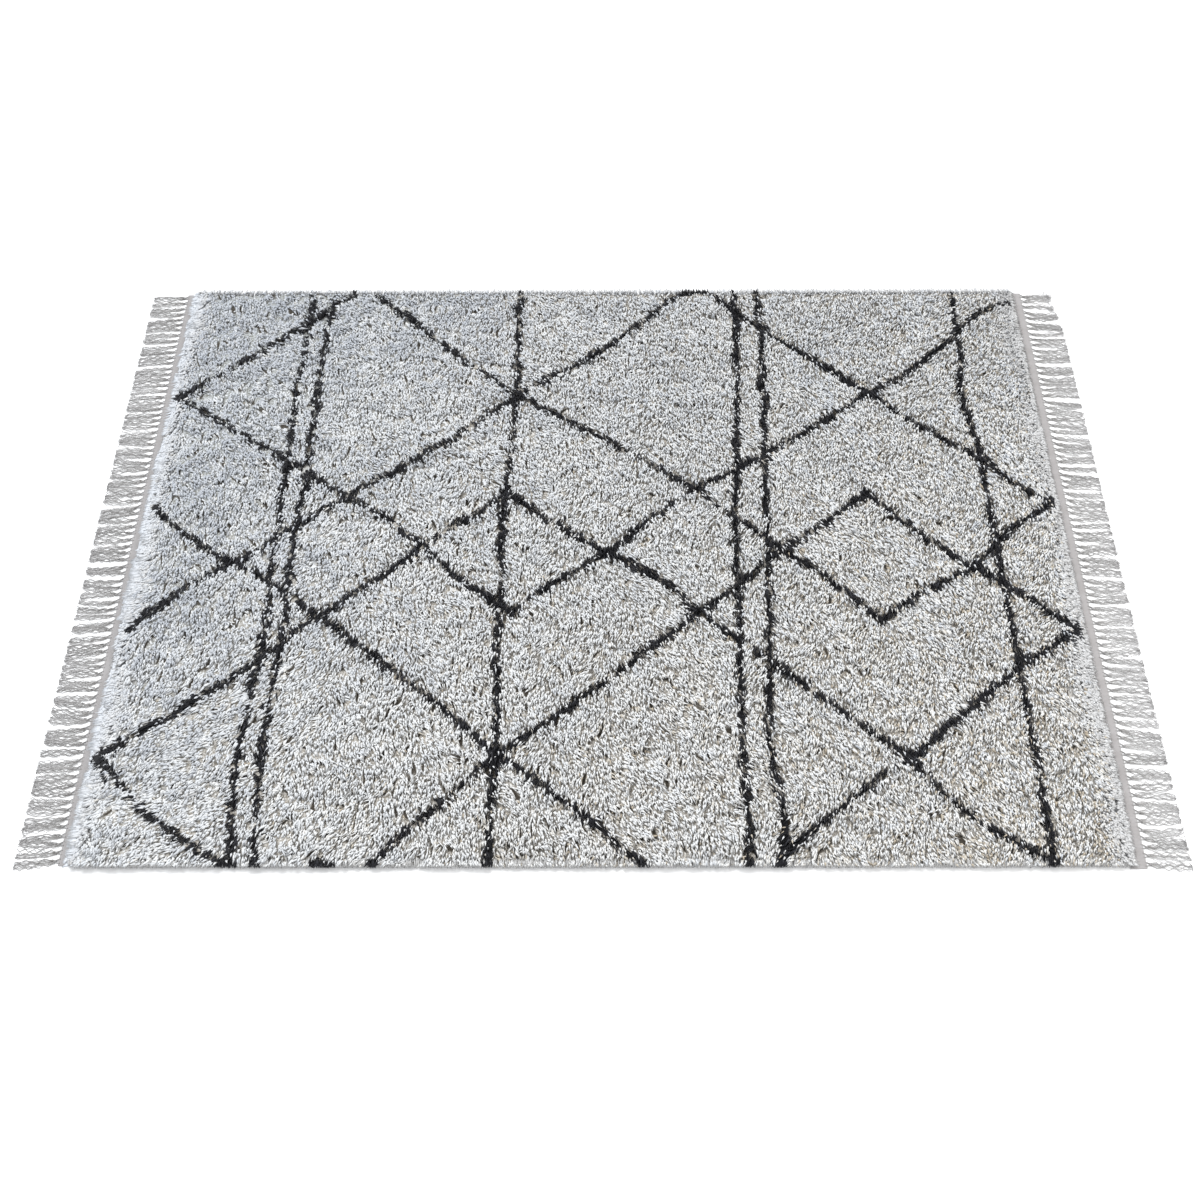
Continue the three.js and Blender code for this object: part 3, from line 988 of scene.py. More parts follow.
def rimTufts():
    # each starts inside the wall, bends at its face and falls to a tip outside it
    rng = randomFor("rim tufts")
    edge, out, level, limit = rimRows()
    count = len(edge)
    side = np.stack([-out[:, 1], out[:, 0]], 1)
    atEnd = np.abs(out[:, 0]) > 0.5
    edge = edge + side * rng.uniform(-1, 1, (count, 1)) * rimLook["spacing"]
    edge = np.clip(edge, -limit, limit)
    share = rng.uniform(0, 1, count)
    endReach = np.where(out[:, 0] < 0, pileLook["leftReach"], pileLook["rightReach"])
    endReach += rimLook["endExtra"]
    sideReach = np.where(out[:, 1] < 0, pileLook["nearReach"], pileLook["farReach"])
    uneven = np.where(out[:, 1] < 0, rimLook["nearUneven"], rimLook["farUneven"])
    sideReach += uneven * (share - rimLook["unevenMiddle"])
    least = rimLook["endLeast"]
    past = np.where(atEnd, endReach * (least + (1 - least) * share), sideReach)
    slide = side * rng.normal(0, rimLook["slide"], (count, 1))
    fall = rimLook["fall"] * rng.uniform(*rimLook["fallRange"], count)
    lowest = np.where(atEnd, rimLook["lowestAtEnd"], rimLook["lowestAtSide"])
    lowest += rimLook["lowestStray"] * rng.uniform(0, 1, count)
    tipHeight = np.maximum(level - fall, lowest)
    level = level + np.where(atEnd, 0, rimLook["sideRise"])
    bend = edge - out * rimLook["bendInset"] + slide * rimLook["bendSlide"]
    low = np.column_stack([edge - out * rimLook["startInset"], level + rimLook["startRise"]])
    bend = np.column_stack([bend, level + rimLook["bendRise"]])
    tip = np.column_stack([edge + out * past[:, None] + slide, tipHeight])
    half = rimLook["halfWidth"] * rng.uniform(*pileLook["halfRange"], count)
    for points in (low, bend, tip):
        nearSkew(points)
    ink = inkAt(*edge.T) > 0
    tone = rimLook["tone"] + rng.normal(0, rimLook["toneSingle"], count)
    tone += rimLook["paintedLightFar"] * out[:, 1] - rimLook["paintedLightLeft"] * out[:, 0]
    tone = np.where(ink, charcoalTone(rng, count), np.clip(tone, *toneLook["limits"]))
    roll = np.radians(rimLook["roll"] * rng.normal(0, 1, count))
    return {"low": low, "bend": bend, "tip": tip, "half": half, "roll": roll, "tone": tone}, ink


ivoryYarn = yarnMaterial("ivoryYarn", ivoryTones, ivoryRootShade)
endYarn = yarnMaterial("endYarn", endTones, endRootShade)
charcoalYarn = yarnMaterial("charcoalYarn", charcoalTones, charcoalRootShade, roughness=0.8, sheen=0.05)
ivoryPieces = 5  # the ivory field is cut along the rug into pieces of like size


def addTufts(name, tufts, chosen, material):
    made = lyingYarns(**{key: value[chosen] for key, value in tufts.items()})
    wear(meshPiece(name, *made), material, "pile")


def makePile():
    field, ink, pale = tuftField()
    plain, along = ~ink & ~pale, field["low"][:, 0]
    edges = np.quantile(along[plain], np.linspace(0, 1, ivoryPieces + 1))
    edges[-1] += 1
    for k in range(ivoryPieces):
        chosen = plain & (along >= edges[k]) & (along < edges[k + 1])
        addTufts(f"pileIvory{k + 1}", field, chosen, ivoryYarn)
    addTufts("pileEnds", field, pale, endYarn)
    addTufts("pileCharcoal", field, ink, charcoalYarn)
    rim, rimInk = rimTufts()
    addTufts("pileRim", rim, ~rimInk, endYarn)
    addTufts("pileRimCharcoal", rim, rimInk, charcoalYarn)
    print("rug:", len(ink), "tufts, of them", int(ink.sum()), "charcoal, and", len(rimInk), "at the rim")


makePile()


# The pile's inner bed: the dense yarn between the tufts, a lumpy surface on the ground, coloured darker
# than the tufts as painted shade deep in the pile
bedLook = {
    "step": 14 * mm,
    "height": 14 * mm,
    "rough": 0.8 * mm,
    "round": 9 * mm,
    "rim": (0, 1.5 * mm, 5 * mm, 11 * mm),  # the first rows' places in from the edge
    "stray": 0.3,  # of the step
    "foot": 2.7 * mm,
    "endInset": 1 * mm,  # from the bands
    "sideInset": 10.5 * mm,
    "endRise": 0.8 * mm,
    "riseFrom": 70 * mm,  # in from the bed's ends
    "riseTo": 40 * mm,
    "endFall": 7 * mm,
    "endRound": 38 * mm,
    "calmRise": 4.4 * mm,  # towards the far left
    "coolSlope": 0.5,  # where the bed's painted cool light lies: its slope away from the camera, against 1 towards the left
    "coolFrom": 0.4,
    "coolTo": 1.2,
    "cells": 240,  # yarns' cells per metre
    "bumpDepth": 2.5 * mm,
}
# The bed's colours, painted shade of the deep pile that darkens further where a yarn's cells meet, by how
# far a place is from a yarn's middle, and the tints laid over them: the cool one is painted cool light
# towards the far left, and the pale one lightens the painted shade along the short ends
bedShadeTones = [(0.0, (0.55, 0.53, 0.495)), (0.45, (0.44, 0.415, 0.38)), (0.8, (0.21, 0.19, 0.155))]
bedTints = {"cool": ((0.84, 0.92, 1.0), "MULTIPLY"), "pale": ((0.60, 0.61, 0.63), "MIX")}


def borderOf(rows, columns):
    # the numbers of a grid's outer points, anticlockwise
    number = np.arange(rows * columns).reshape(rows, columns)
    return np.concatenate([number[0, :-1], number[:-1, -1], number[-1, :0:-1], number[:0:-1, 0]])


def pileBed():
    # domed edges, and a lumpy top that follows the swells and clumps of the tips above it
    rng = randomFor("bed")
    halfX = rugSize["bandInner"] - bedLook["endInset"]
    halfY = rugSize["halfDepth"] - bedLook["sideInset"]
    steps = []
    for half in (halfX, halfY):
        even = half - bedLook["rim"][-1]
        middle = np.linspace(-even, even, int(2 * even / bedLook["step"]) + 1)
        edges = half - np.array(bedLook["rim"][:-1])
        steps.append(np.concatenate([-edges, middle, edges[::-1]]))
    x, y = np.meshgrid(*steps)
    rows, columns = x.shape
    fixed = len(bedLook["rim"]) - 1
    inner = np.zeros(x.shape)
    inner[fixed:-fixed, fixed:-fixed] = bedLook["stray"] * bedLook["step"]
    x += inner * rng.uniform(-1, 1, x.shape)
    y += inner * rng.uniform(-1, 1, x.shape)
    toEdge = np.minimum(halfX - np.abs(x), halfY - np.abs(y))
    dome = np.sqrt(np.clip(1 - (1 - np.clip(toEdge / bedLook["round"], 0, 1)) ** 2, 0, 1))
    lumpy = swellAt(x, y) + bedLook["rough"] * rng.uniform(-1, 1, x.shape)
    atEnd, calm = endShares(x, y)[0], calmAt(x, y)
    number, away = (value.reshape(x.shape) for value in clumpAt(x.ravel(), y.ravel()))
    lumpy += clumpRise(number, away, traitLeft("relief", atEnd, calm))
    lumpy += bedLook["calmRise"] * calm * (1 - atEnd)
    inside = halfX - bedLook["riseFrom"], halfX - bedLook["riseTo"]
    lumpy += bedLook["endRise"] * blendBetween(*inside, np.abs(x))
    lumpy -= bedLook["endFall"] * blendBetween(halfX - bedLook["endRound"], halfX, np.abs(x))
    z = bedLook["foot"] + dome * (bedLook["height"] + lumpy - bedLook["foot"])
    points = np.stack([x.ravel(), y.ravel(), z.ravel()], 1)
    edge = borderOf(rows, columns)
    fan = np.stack([np.roll(edge, -1), edge, np.full(len(edge), len(points))], 1)
    points = np.concatenate([points, [[0, 0, bedLook["foot"]]]])
    uv = points[:, :2] / (2 * np.array([halfX, halfY])) * mapLook["fill"] + 0.5
    bed = meshPiece("pileBed", points, [gridFaces(rows, columns), fan], uv, unseen=1)
    addAttribute(bed, "pale", endShares(points[:, 0], points[:, 1])[0])
    # the share of the bed's painted cool light, towards the far left
    cool = bedLook["coolSlope"] * points[:, 1] - points[:, 0]
    addAttribute(bed, "cool", blendBetween(bedLook["coolFrom"], bedLook["coolTo"], cool))
    return bed


def bedMaterial():
    # rounded cells the size of a yarn, with painted shade where they meet and a deep painted shade along
    # the open partings
    material, tree, shader = newMaterial("pileBedYarn", roughness=0.9, sheen=0.1)
    place = tree.nodes.new("ShaderNodeTexCoord").outputs["Object"]
    cells = tree.nodes.new("ShaderNodeTexVoronoi")
    cells.inputs["Scale"].default_value = bedLook["cells"]
    tree.links.new(place, cells.inputs["Vector"])
    colour = rampNode(tree, cells.outputs["Distance"], bedShadeTones)
    masks = {name: attributeNode(tree, name) for name in bedTints}
    for name, (tint, way) in bedTints.items():
        colour = mixColour(tree, masks[name], colour, tint, way)
    parting = groupNode(tree, "parting", Vector=place)
    inField = mathNode(tree, "SUBTRACT", 1.0, masks["pale"])
    share = mathNode(tree, "MULTIPLY", parting.outputs["Share"], inField)
    colour = mixColour(tree, share, colour, partingLook["colour"])
    tree.links.new(colour, shader.inputs["Base Color"])
    height = mathNode(tree, "SUBTRACT", 1.0, cells.outputs["Distance"])
    tree.links.new(bumpNode(tree, height, 1.0, bedLook["bumpDepth"]), shader.inputs["Normal"])
    return material


wear(pileBed(), bedMaterial(), "pile")


# The charcoal yarn's own bed: low blocks end to end along each line, on the pile's bed
blockLook = {
    "step": 18 * mm,
    "overlap": 0.12,  # share of a block's length
    "endGap": 6 * mm,  # to the bands and to the rug's long sides
    "sideGap": 18 * mm,
    "leastHalf": 2 * mm,
    "wider": 1.05,  # than the line
    "flat": 0.45,
    "sunk": 1.2 * mm,
    "tone": 0.35,
    "sides": 4,
}


def lineBlocks():
    starts, ends = [], []
    for path in linePaths():
        far = np.concatenate([[0], np.cumsum(np.linalg.norm(np.diff(path, axis=0), axis=1))])
        marks = np.linspace(0, far[-1], max(2, int(far[-1] / blockLook["step"]) + 1))
        places = np.stack([np.interp(marks, far, path[:, k]) for k in (0, 1)], 1)
        starts.append(places[:-1])
        ends.append(places[1:])
    starts, ends = np.concatenate(starts), np.concatenate(ends)
    extra = blockLook["overlap"] * (ends - starts)
    centres = np.stack([starts - extra, ends + extra], 1)
    for k, key in enumerate(("wanderX", "wanderY")):
        centres[..., k] -= wanderAt(centres[..., 0], centres[..., 1], key)
    limit = np.array([rugSize["bandInner"], rugSize["halfDepth"]])
    limit -= (blockLook["endGap"], blockLook["sideGap"])
    centres = np.clip(centres, -limit, limit)
    x, y = centres[..., 0], centres[..., 1]
    half = np.maximum(inkAt(x.ravel(), y.ravel(), 0.0), blockLook["leastHalf"]).reshape(x.shape)
    top = bedLook["height"] + swellAt(x, y)
    centres = np.concatenate([centres, (top - blockLook["sunk"])[..., None]], 2)
    tone = np.full(len(centres), blockLook["tone"])
    return tubes(centres, blockLook["wider"] * half, blockLook["sides"], tone, blockLook["flat"])


blocks = meshPiece("pileCharcoalBed", *lineBlocks())
wear(blocks, charcoalYarn, "pile")
print("rug: pile bed")


def closedSheet(name, xs, ys, low, high, unseenTop=False):
    # two grids over the same places, low and high, joined round their edge
    x, y = np.meshgrid(xs, ys)
    rows, columns = x.shape
    count = rows * columns
    levels = [np.broadcast_to(level, x.shape).ravel() for level in (low, high)]
    points = np.concatenate([np.stack([x.ravel(), y.ravel(), level], 1) for level in levels])
    bottom, top = gridFaces(rows, columns)[:, ::-1], gridFaces(rows, columns) + count
    edge = borderOf(rows, columns)
    after = np.roll(edge, -1)
    wall = np.stack([edge, after, after + count, edge + count], 1)
    u = (x.ravel() - xs[0]) / (xs[-1] - xs[0])
    v = (y.ravel() - ys[0]) / (ys[-1] - ys[0])
    uv = np.tile(np.stack([u, v], 1) * mapLook["fill"] + mapLook["margin"], (2, 1))
    return meshPiece(name, points, [bottom, wall, top], uv, smooth=False, unseen=int(unseenTop))


weaveLook = {
    "gapShare": 0.55,  # how far the gaps between threads take on their painted shade
    "blotches": 28,  # per metre
    "blotchDetail": 4,
    "bump": 0.7,
    "bumpDepth": 0.6 * mm,
    "inkShare": 0.7,
    "inkColour": (0.05, 0.05, 0.055),
}
blotchTints = [(0.3, (0.86, 0.85, 0.84)), (0.7, (1.0, 1.0, 1.0))]


def wovenMaterial(name, thread, gap, warp, weft, usesInk=False):
    # threads and gaps darkened with painted shade, with soft blotches and, on the ground, what shows of
    # the lattice
    material, tree, shader = newMaterial(name, roughness=0.9, sheen=0.1)
    place = tree.nodes.new("ShaderNodeTexCoord").outputs["Object"]
    weave = groupNode(tree, "weave", Vector=place, Warp_per_metre=warp, Weft_per_metre=weft)
    blotch = tree.nodes.new("ShaderNodeTexNoise")
    blotch.inputs["Scale"].default_value = weaveLook["blotches"]
    blotch.inputs["Detail"].default_value = weaveLook["blotchDetail"]
    tree.links.new(place, blotch.inputs["Vector"])
    share = mathNode(tree, "MULTIPLY", weave.outputs["Gap"], weaveLook["gapShare"])
    tint = rampNode(tree, blotch.outputs["Fac"], blotchTints)
    cloth = mixColour(tree, 1.0, mixColour(tree, share, thread, gap), tint, "MULTIPLY")
    if usesInk:
        share = mathNode(tree, "MULTIPLY", attributeNode(tree, "ink"), weaveLook["inkShare"])
        cloth = mixColour(tree, share, cloth, weaveLook["inkColour"])
    tree.links.new(cloth, shader.inputs["Base Color"])
    bump = bumpNode(tree, weave.outputs["Height"], weaveLook["bump"], weaveLook["bumpDepth"])
    tree.links.new(bump, shader.inputs["Normal"])
    return material


# The woven ground: a flat sheet under the whole pile, whose back shows from below
groundLook = {
    "top": 2.4 * mm,
    "step": 40 * mm,
    "endGap": 0.6 * mm,  # to the bands
    "sideInset": 9.5 * mm,
    "inkFrom": -9 * mm,  # where the lattice starts to show, past its own edge
    "inkTo": 4 * mm,
    "inkRagged": 0.3,
}
# The colours of threads and the painted shade of the gaps between them, and threads per metre
groundThreads = {"thread": (0.72, 0.70, 0.65), "gap": (0.42, 0.39, 0.34), "warp": 260.0, "weft": 200.0}


def makeGround():
    halves = rugSize["bandInner"] - groundLook["endGap"], rugSize["halfDepth"] - groundLook["sideInset"]
    xs, ys = (np.linspace(-half, half, int(2 * half / groundLook["step"])) for half in halves)
    cloth = closedSheet("groundCloth", xs, ys, 0.0, groundLook["top"], unseenTop=True)
    places = np.empty(len(cloth.data.vertices) * 3, np.float32)
    cloth.data.vertices.foreach_get("co", places)
    x, y = places[0::3], places[1::3]
    inside = inkAt(x, y, groundLook["inkRagged"])
    addAttribute(cloth, "ink", blendBetween(groundLook["inkFrom"], groundLook["inkTo"], inside))
    wear(cloth, wovenMaterial("groundWeave", **groundThreads, usesInk=True), "pile")
    return cloth, tuple(2 * half for half in halves)


groundCloth, groundFlat = makeGround()
print("rug: woven ground")


# End bands: the flat weave past the pile, with the warp ends gathered into tassels
bandLook = {
    "stepAlong": 8 * mm,
    "stepAcross": 4.5 * mm,
    "ripple": 0.35 * mm,
    "rippleSize": 22 * mm,
}
bandThreads = {"thread": (0.415, 0.40, 0.40), "gap": (0.25, 0.238, 0.235), "warp": 330.0, "weft": 380.0}
tasselLook = {
    "count": 84,
    "knotAt": 0.085,  # the knot's place, as a share of the tassel's length
    "slant": -7 * mm,
    "slantGrows": 3,  # over this many tassels from the near corner
    "stray": 2.6 * mm,
    "unevenness": 3 * mm,
    "unevenGrows": 8,  # its slope from 0 at the rug's middle
    "bow": 4 * mm,
}
# A tassel's form by its share of length: half its width, and its share of the slant
tasselShape = {
    "along": (0.0, 0.085, 0.15, 0.25, 0.40, 1.0),
    "half": (4.6 * mm, 3.1 * mm, 5.0 * mm, 6.3 * mm, 7.2 * mm, 9.0 * mm),
    "slant": (0.0, 0.35, 0.48, 0.62, 0.72, 1.0),
}
cordLook = {
    "count": 9,  # to a tassel
    "radius": 0.80 * mm,
    "radiusRange": (0.8, 1.15),
    "sides": 3,
    "rings": 16,
    "stray": 0.16,  # of half the tassel's width
    "reachRange": (1.08, 1.19),  # of the tassel's length
    "outerShort": 0.035,
    "fanned": (0.08, 0.26),  # the shares of length between which the cords come apart
    "turns": (2.4, 5.6),  # of its wave
    "phase": 7,  # radians, times a second number like the turns
    "waveRange": (1.1 * mm, 3.8 * mm),
    "sprawl": 14 * mm,  # how much further the loose cords stray than the tassel does
    "cross": 1.7 * mm,  # the same for single cords
    "merge": 10 * mm,  # how far neighbouring tassels drift together
    "mergeSize": 30 * mm,
    "bend": 4.5 * mm,  # how far a tassel bows to one side
    "hookRange": (-2.5 * mm, 8.5 * mm),  # of a tip towards the tassel's middle
    "hookFrom": 0.80,
    "cut": 95.5 * mm,  # the length past which a tip turns back
    "cutStray": 1 * mm,
    "backRange": (-0.2, 0.9),  # the share of the rest that it comes back
    "thinFrom": 0.93,
    "thinTo": 0.6,
    "lift": 1.7 * mm,  # of the topmost cords, and more over the knot
    "neckLift": 1.6 * mm,
    "neckAt": 0.09,
    "neckReach": 0.08,
    "hump": 0.6 * mm,
    "humpTurns": 4,
    "tone": 0.44,
    "rightTone": 0.26,  # how much paler the right fringe is
    "toneStray": 0.25,
}
# At the far right corner the last tassels' tips curl back
curlLook = {
    "tassels": 6,
    "from": 0.60,
    "backRange": (8 * mm, 34 * mm),
    "sideRange": (-11 * mm, 9 * mm),
    "lift": 2 * mm,
}
# The warp ends' bundles between the band and the knot, by their share of the tassel's length
legLook = {
    "from": -0.04,
    "rings": 5,
    "spread": (4.4 * mm, 1.2 * mm),  # half the way between two legs, at the band and the knot
    "heights": (2.2 * mm, 2.1 * mm, 2.6 * mm),  # in the band, at its edge and in the knot
    "radius": 1.35 * mm,
    "radiusRange": (0.85, 1.15),
    "sides": 4,
    "tone": 0.42,
}
knotLook = {
    "along": (-0.034, -0.022, 0.0, 0.022, 0.034),  # from the knot's place
    "radius": (1.2 * mm, 2.6 * mm, 2.3 * mm, 2.8 * mm, 1.3 * mm),
    "radiusRange": (0.85, 1.1),
    "height": 2.9 * mm,
    "stray": 0.5 * mm,
    "sides": 6,
    "tone": 0.38,
}
bundleTone = 0.12  # how much the tones of legs and knots differ
fringeTones = (0.02, 0.98)  # their limits


def tasselFacts(sign):
    # the same lengths and slants as the solid tassels
    index = np.arange(tasselLook["count"])
    place = 2 * (index + 0.5) / tasselLook["count"] - 1
    uneven = tasselLook["unevenness"] * chance(index, seeds["tasselLength"] + sign)
    uneven = uneven * np.minimum(1, tasselLook["unevenGrows"] * np.abs(place))
    length = rugSize["halfLength"] - rugSize["bandReach"] - tasselLook["bow"] * place**2 - uneven
    stray = tasselLook["stray"] * (2 * chance(index, seeds["tasselSlant"] + sign) - 1)
    slant = (tasselLook["slant"] + stray) * np.minimum(1, index / tasselLook["slantGrows"])
    return index, place * rugSize["fringeHalfDepth"], length, slant


def alongTassel(share, key):
    return np.interp(share, tasselShape["along"], tasselShape[key])


def fringeTone(rng, tone, stray, count):
    return np.clip(tone + rng.normal(0, stray, count), *fringeTones)


def tasselCords(sign):
    # a cord runs out from the knot, fans to its place in the tassel, waves and hooks its tip
    rng = randomFor(f"cords {sign}")
    index, root, length, slant = tasselFacts(sign)
    cords = cordLook["count"]
    count = len(index) * cords
    tassel = np.repeat(index, cords)
    spot = np.tile(np.linspace(-1, 1, cords), len(index)) + rng.normal(0, cordLook["stray"], count)
    share = np.linspace(tasselLook["knotAt"], 1, cordLook["rings"])
    reach = rng.uniform(*cordLook["reachRange"], count) - cordLook["outerShort"] * spot**2
    reach = length[tassel] * reach
    fanned = blendBetween(*cordLook["fanned"], share)
    turns, phase = (value[:, None] for value in rng.uniform(*cordLook["turns"], (2, count)))
    size = rng.uniform(*cordLook["waveRange"], count)[:, None]
    wave = size * np.sin(turns * share * 2 * math.pi + cordLook["phase"] * phase) * fanned
    sprawl = cordLook["sprawl"] * (chance(index, seeds["tasselSprawl"] + sign) - 0.5)
    merge = noise(root, root * 0, cordLook["mergeSize"], seeds["tasselMerge"] + sign)
    sprawl += cordLook["merge"] * merge
    bend = cordLook["bend"] * (2 * chance(index, seeds["tasselBend"] + sign) - 1)
    bend = bend[tassel][:, None] * np.sin(math.pi * share)
    cross = (sprawl[tassel] + rng.normal(0, cordLook["cross"], count))[:, None] * share**2
    inward = -np.sign(spot) * rng.uniform(*cordLook["hookRange"], count)
    hook = inward[:, None] * blendBetween(cordLook["hookFrom"], 1, share)
    along = share * reach[:, None]
    cut = cordLook["cut"] + cordLook["cutStray"] * rng.uniform(-1, 1, (count, 1))
    back = rng.uniform(*cordLook["backRange"], (count, 1))
    along = np.where(along > cut, cut - back * (along - cut), along)
    x = sign * (rugSize["bandReach"] + along)
    y = root[tassel][:, None] + slant[tassel][:, None] * alongTassel(share, "slant")
    y = y + spot[:, None] * alongTassel(share, "half") + wave + cross + hook + bend
    radius = cordLook["radius"] * rng.uniform(*cordLook["radiusRange"], count)[:, None]
    thin = radius * np.interp(share, (0, cordLook["thinFrom"], 1), (1, 1, cordLook["thinTo"]))
    lift = rng.uniform(0, 1, count)[:, None]
    neck = np.exp(-(((share - cordLook["neckAt"]) / cordLook["neckReach"]) ** 2))
    hump = np.abs(np.sin(turns * share * cordLook["humpTurns"] + phase)) * fanned
    z = radius + lift * (cordLook["lift"] + cordLook["neckLift"] * neck) + cordLook["hump"] * hump
    if sign > 0:
        last = curlLook["tassels"]
        curl = np.clip((tassel - len(index) + 1 + last) / last, 0, 1)[:, None]
        back = blendBetween(curlLook["from"], 1.0, share)
        x = x - curl * back**2 * rng.uniform(*curlLook["backRange"], count)[:, None]
        y = y + curl * np.sin(back * math.pi) * rng.uniform(*curlLook["sideRange"], count)[:, None]
        z = z + curl * back * rng.uniform(0, curlLook["lift"], count)[:, None]
    tone = cordLook["tone"] + cordLook["rightTone"] * (sign > 0)
    tone = fringeTone(rng, tone, cordLook["toneStray"], count)
    return tubes(np.stack([x, y, z], -1), thin, cordLook["sides"], tone)


def tasselLegs(sign):
    # two bundles of warp ends leave the band's edge and meet in the knot
    rng = randomFor(f"legs {sign}")
    index, root, length, slant = tasselFacts(sign)
    tassel = np.repeat(index, 2)
    side = np.tile([-1.0, 1.0], len(index))
    start, knot = legLook["from"], tasselLook["knotAt"]
    share = np.linspace(start, knot, legLook["rings"])
    half = np.interp(share, (0, knot), legLook["spread"])
    x = sign * (rugSize["bandReach"] + share * length[tassel][:, None])
    y = root[tassel][:, None] + slant[tassel][:, None] * alongTassel(share, "slant")
    y = y + side[:, None] * half
    z = np.broadcast_to(np.interp(share, (start, 0, knot), legLook["heights"]), x.shape)
    radius = rng.uniform(*legLook["radiusRange"], (len(tassel), 1))
    radius = legLook["radius"] * radius * np.ones(len(share))
    tone = fringeTone(rng, legLook["tone"], bundleTone, len(tassel))
    return tubes(np.stack([x, y, z], -1), radius, legLook["sides"], tone)


def tasselKnots(sign):
    # a small barrel whose width swells twice, over the place where the legs meet
    rng = randomFor(f"knots {sign}")
    index, root, length, slant = tasselFacts(sign)
    share = tasselLook["knotAt"] + np.array(knotLook["along"])
    x = sign * (rugSize["bandReach"] + share * length[:, None])
    y = root[:, None] + slant[:, None] * alongTassel(share, "slant")
    y = y + rng.normal(0, knotLook["stray"], (len(index), 1))
    z = np.full(x.shape, knotLook["height"])
    radius = knotLook["radius"] * rng.uniform(*knotLook["radiusRange"], (len(index), 1))
    tone = fringeTone(rng, knotLook["tone"], bundleTone, len(index))
    return tubes(np.stack([x, y, z], -1), radius, knotLook["sides"], tone)


greigeTones = [(0.0, (0.20, 0.193, 0.19)), (0.5, (0.37, 0.36, 0.358)), (1.0, (0.56, 0.55, 0.55))]
# Along a cord from the knot: painted shade near the knot, and darker again at the very tip
greigeLengths = [
    (0.0, (0.86, 0.85, 0.83)), (0.25, (0.95, 0.95, 0.94)), (0.86, (1, 1, 1)),
    (1.0, (0.72, 0.72, 0.72)),
]
cordYarn = yarnMaterial("fringeYarn", greigeTones, greigeLengths, turns=34.0)
bandWeave = wovenMaterial("bandWeave", **bandThreads)


def makeEnd(sign, side):
    # the band's sheet, a little rippled on top, and all that hangs on it
    node = f"fringe_{side.lower()}"
    inner, outer = sorted((sign * rugSize["bandInner"], sign * rugSize["bandReach"]))
    half = rugSize["fringeHalfDepth"]
    xs = np.linspace(inner, outer, 1 + round((outer - inner) / bandLook["stepAcross"]))
    ys = np.linspace(-half, half, 1 + round(2 * half / bandLook["stepAlong"]))
    ripple = 0.5 + 0.5 * noise(*np.meshgrid(xs, ys), bandLook["rippleSize"], seeds["ripple"])
    top = rugSize["bandThick"] - bandLook["ripple"] * ripple
    band = wear(closedSheet(f"band{side}", xs, ys, 0.0, top), bandWeave, node)
    for name, make in (("Cords", tasselCords), ("Legs", tasselLegs), ("Knots", tasselKnots)):
        piece = meshPiece(f"fringe{name}{side}", *make(sign))
        wear(piece, cordYarn, node)


makeEnd(-1, "Left")
makeEnd(1, "Right")
print("rug: bands and fringes")


# Floor, light and camera
stageLook = {
    "floorHalf": 14.0,
    "floorDrop": 0.2 * mm,
    "floorColour": (0.94, 0.94, 0.94),
    "floorShade": 0.99,  # of its darkest spots
    "floorGrain": 3,  # per metre
    "world": (0.965, 0.98, 1.0),
    "worldPower": 0.875,
    "sunAngle": 20,  # degrees across, for soft shadows
    "lampSize": 2.2,
}
lamps = {
    "key": {"place": (-1.7, 1.7, 3.6), "kind": "SUN", "power": 2.05, "colour": (0.99, 0.995, 1.0)},
    "cool": {"place": (-3.2, 0.6, 2.6), "kind": "AREA", "power": 39, "colour": (0.89, 0.945, 1.0)},
    "warm": {"place": (3.2, -0.6, 2.6), "kind": "AREA", "power": 54, "colour": (1.0, 0.985, 0.96)},
}
# The camera: metres, degrees, and a focal length in pixels of an image this wide
cameraLook = {
    "place": (0.0226, -1.3817, 2.3530),
    "down": 62.524,
    "turn": 1.211,
    "roll": -1.051,
    "focalPixels": 1112.9,
    "imageWidth": 1200,
    "sensor": 36.0,
}


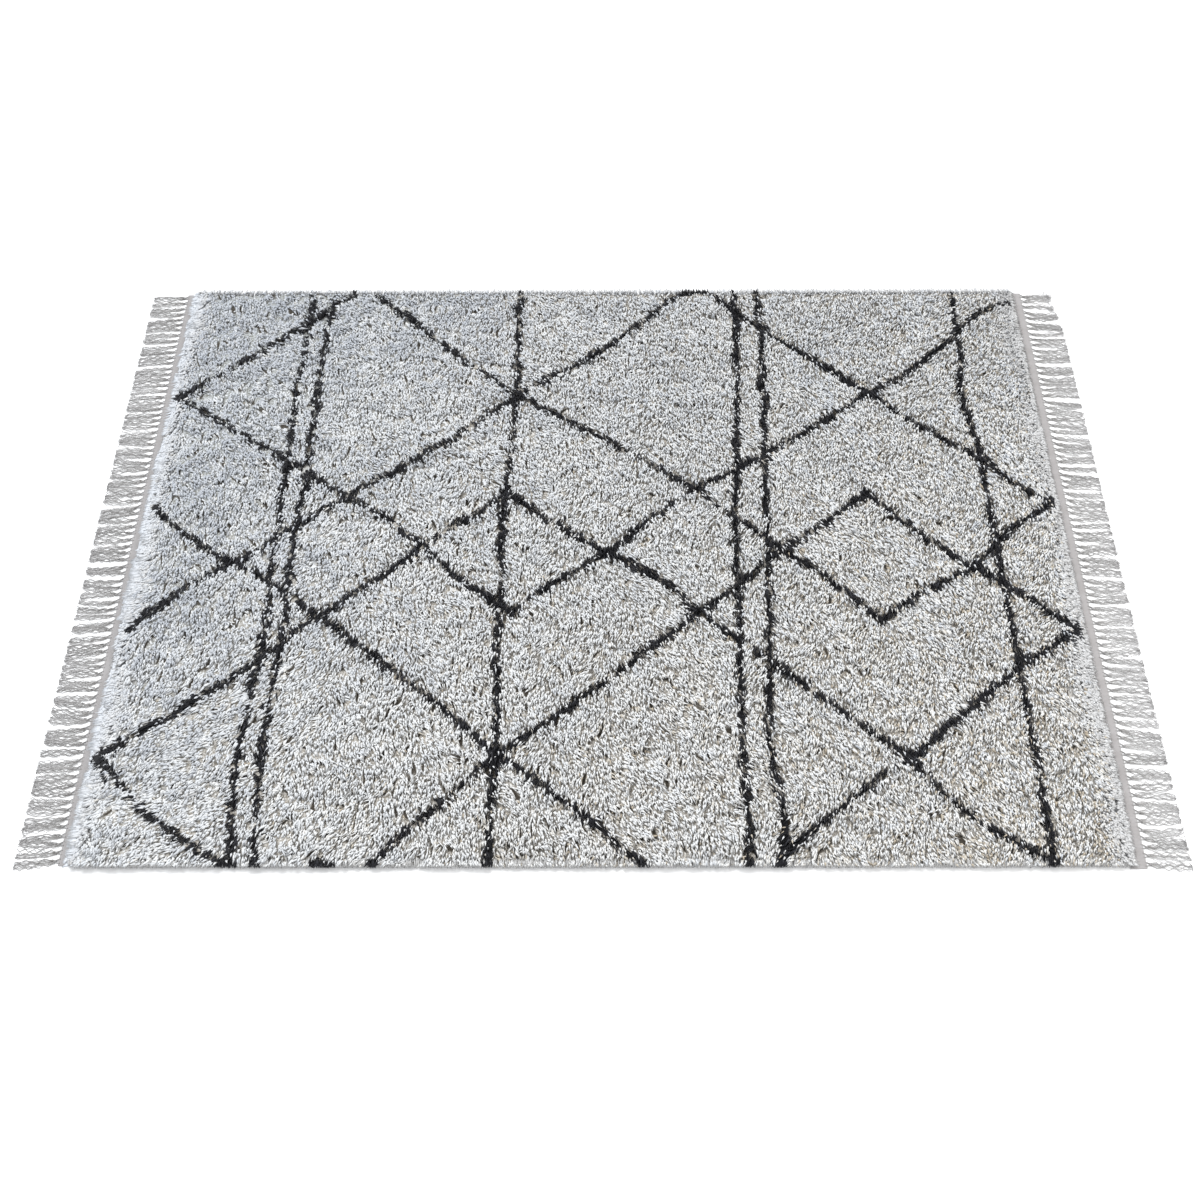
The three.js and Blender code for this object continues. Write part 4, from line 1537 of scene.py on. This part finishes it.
def makeFloor():
    half = stageLook["floorHalf"]
    points = np.array([[-half, -half, 0], [half, -half, 0], [half, half, 0], [-half, half, 0]])
    uv = points[:, :2] / (2 * half) + 0.5
    points[:, 2] -= stageLook["floorDrop"]
    floor = meshPiece("floor", points, [np.array([[0, 1, 2, 3]])], uv, smooth=False)
    material, tree, shader = newMaterial("paleFloor", roughness=0.8, sheen=0.0)
    grain = tree.nodes.new("ShaderNodeTexNoise")
    grain.inputs["Scale"].default_value = stageLook["floorGrain"]
    place = tree.nodes.new("ShaderNodeTexCoord").outputs["Object"]
    tree.links.new(place, grain.inputs["Vector"])
    base = stageLook["floorColour"]
    spots = tuple(part * stageLook["floorShade"] for part in base)
    tint = rampNode(tree, grain.outputs["Fac"], [(0.0, spots), (1.0, base)])
    tree.links.new(tint, shader.inputs["Base Color"])
    floor.data.materials.append(material)


def makeLights():
    # the world's even light, a soft sun, and a lamp beyond each end
    world = bpy.data.worlds.new("studio")
    world.use_nodes = True
    background = world.node_tree.nodes["Background"]
    background.inputs["Color"].default_value = (*stageLook["world"], 1)
    background.inputs["Strength"].default_value = stageLook["worldPower"]
    bpy.context.scene.world = world
    for name, lamp in lamps.items():
        light = bpy.data.lights.new(name, lamp["kind"])
        light.energy, light.color = lamp["power"], lamp["colour"]
        if lamp["kind"] == "SUN":
            light.angle = math.radians(stageLook["sunAngle"])
        else:
            light.size = stageLook["lampSize"]
        holder = bpy.data.objects.new(name, light)
        holder.location = Vector(lamp["place"])
        holder.rotation_euler = holder.location.to_track_quat("Z", "Y").to_euler()
        bpy.context.scene.collection.objects.link(holder)


def makeCamera():
    lens = bpy.data.cameras.new("camera")
    lens.sensor_width = cameraLook["sensor"]
    lens.lens = cameraLook["focalPixels"] * cameraLook["sensor"] / cameraLook["imageWidth"]
    camera = bpy.data.objects.new("camera", lens)
    turn = Matrix.Rotation(math.radians(cameraLook["turn"]), 4, "Z")
    tilt = Matrix.Rotation(math.radians(90 - cameraLook["down"]), 4, "X")
    roll = Matrix.Rotation(math.radians(cameraLook["roll"]), 4, "Z")
    camera.matrix_world = Matrix.Translation(cameraLook["place"]) @ turn @ tilt @ roll
    bpy.context.scene.collection.objects.link(camera)
    bpy.context.scene.camera = camera


makeFloor()
makeLights()
makeCamera()
bpy.context.scene.view_settings.view_transform = "Standard"
print("rug: floor, light and camera")
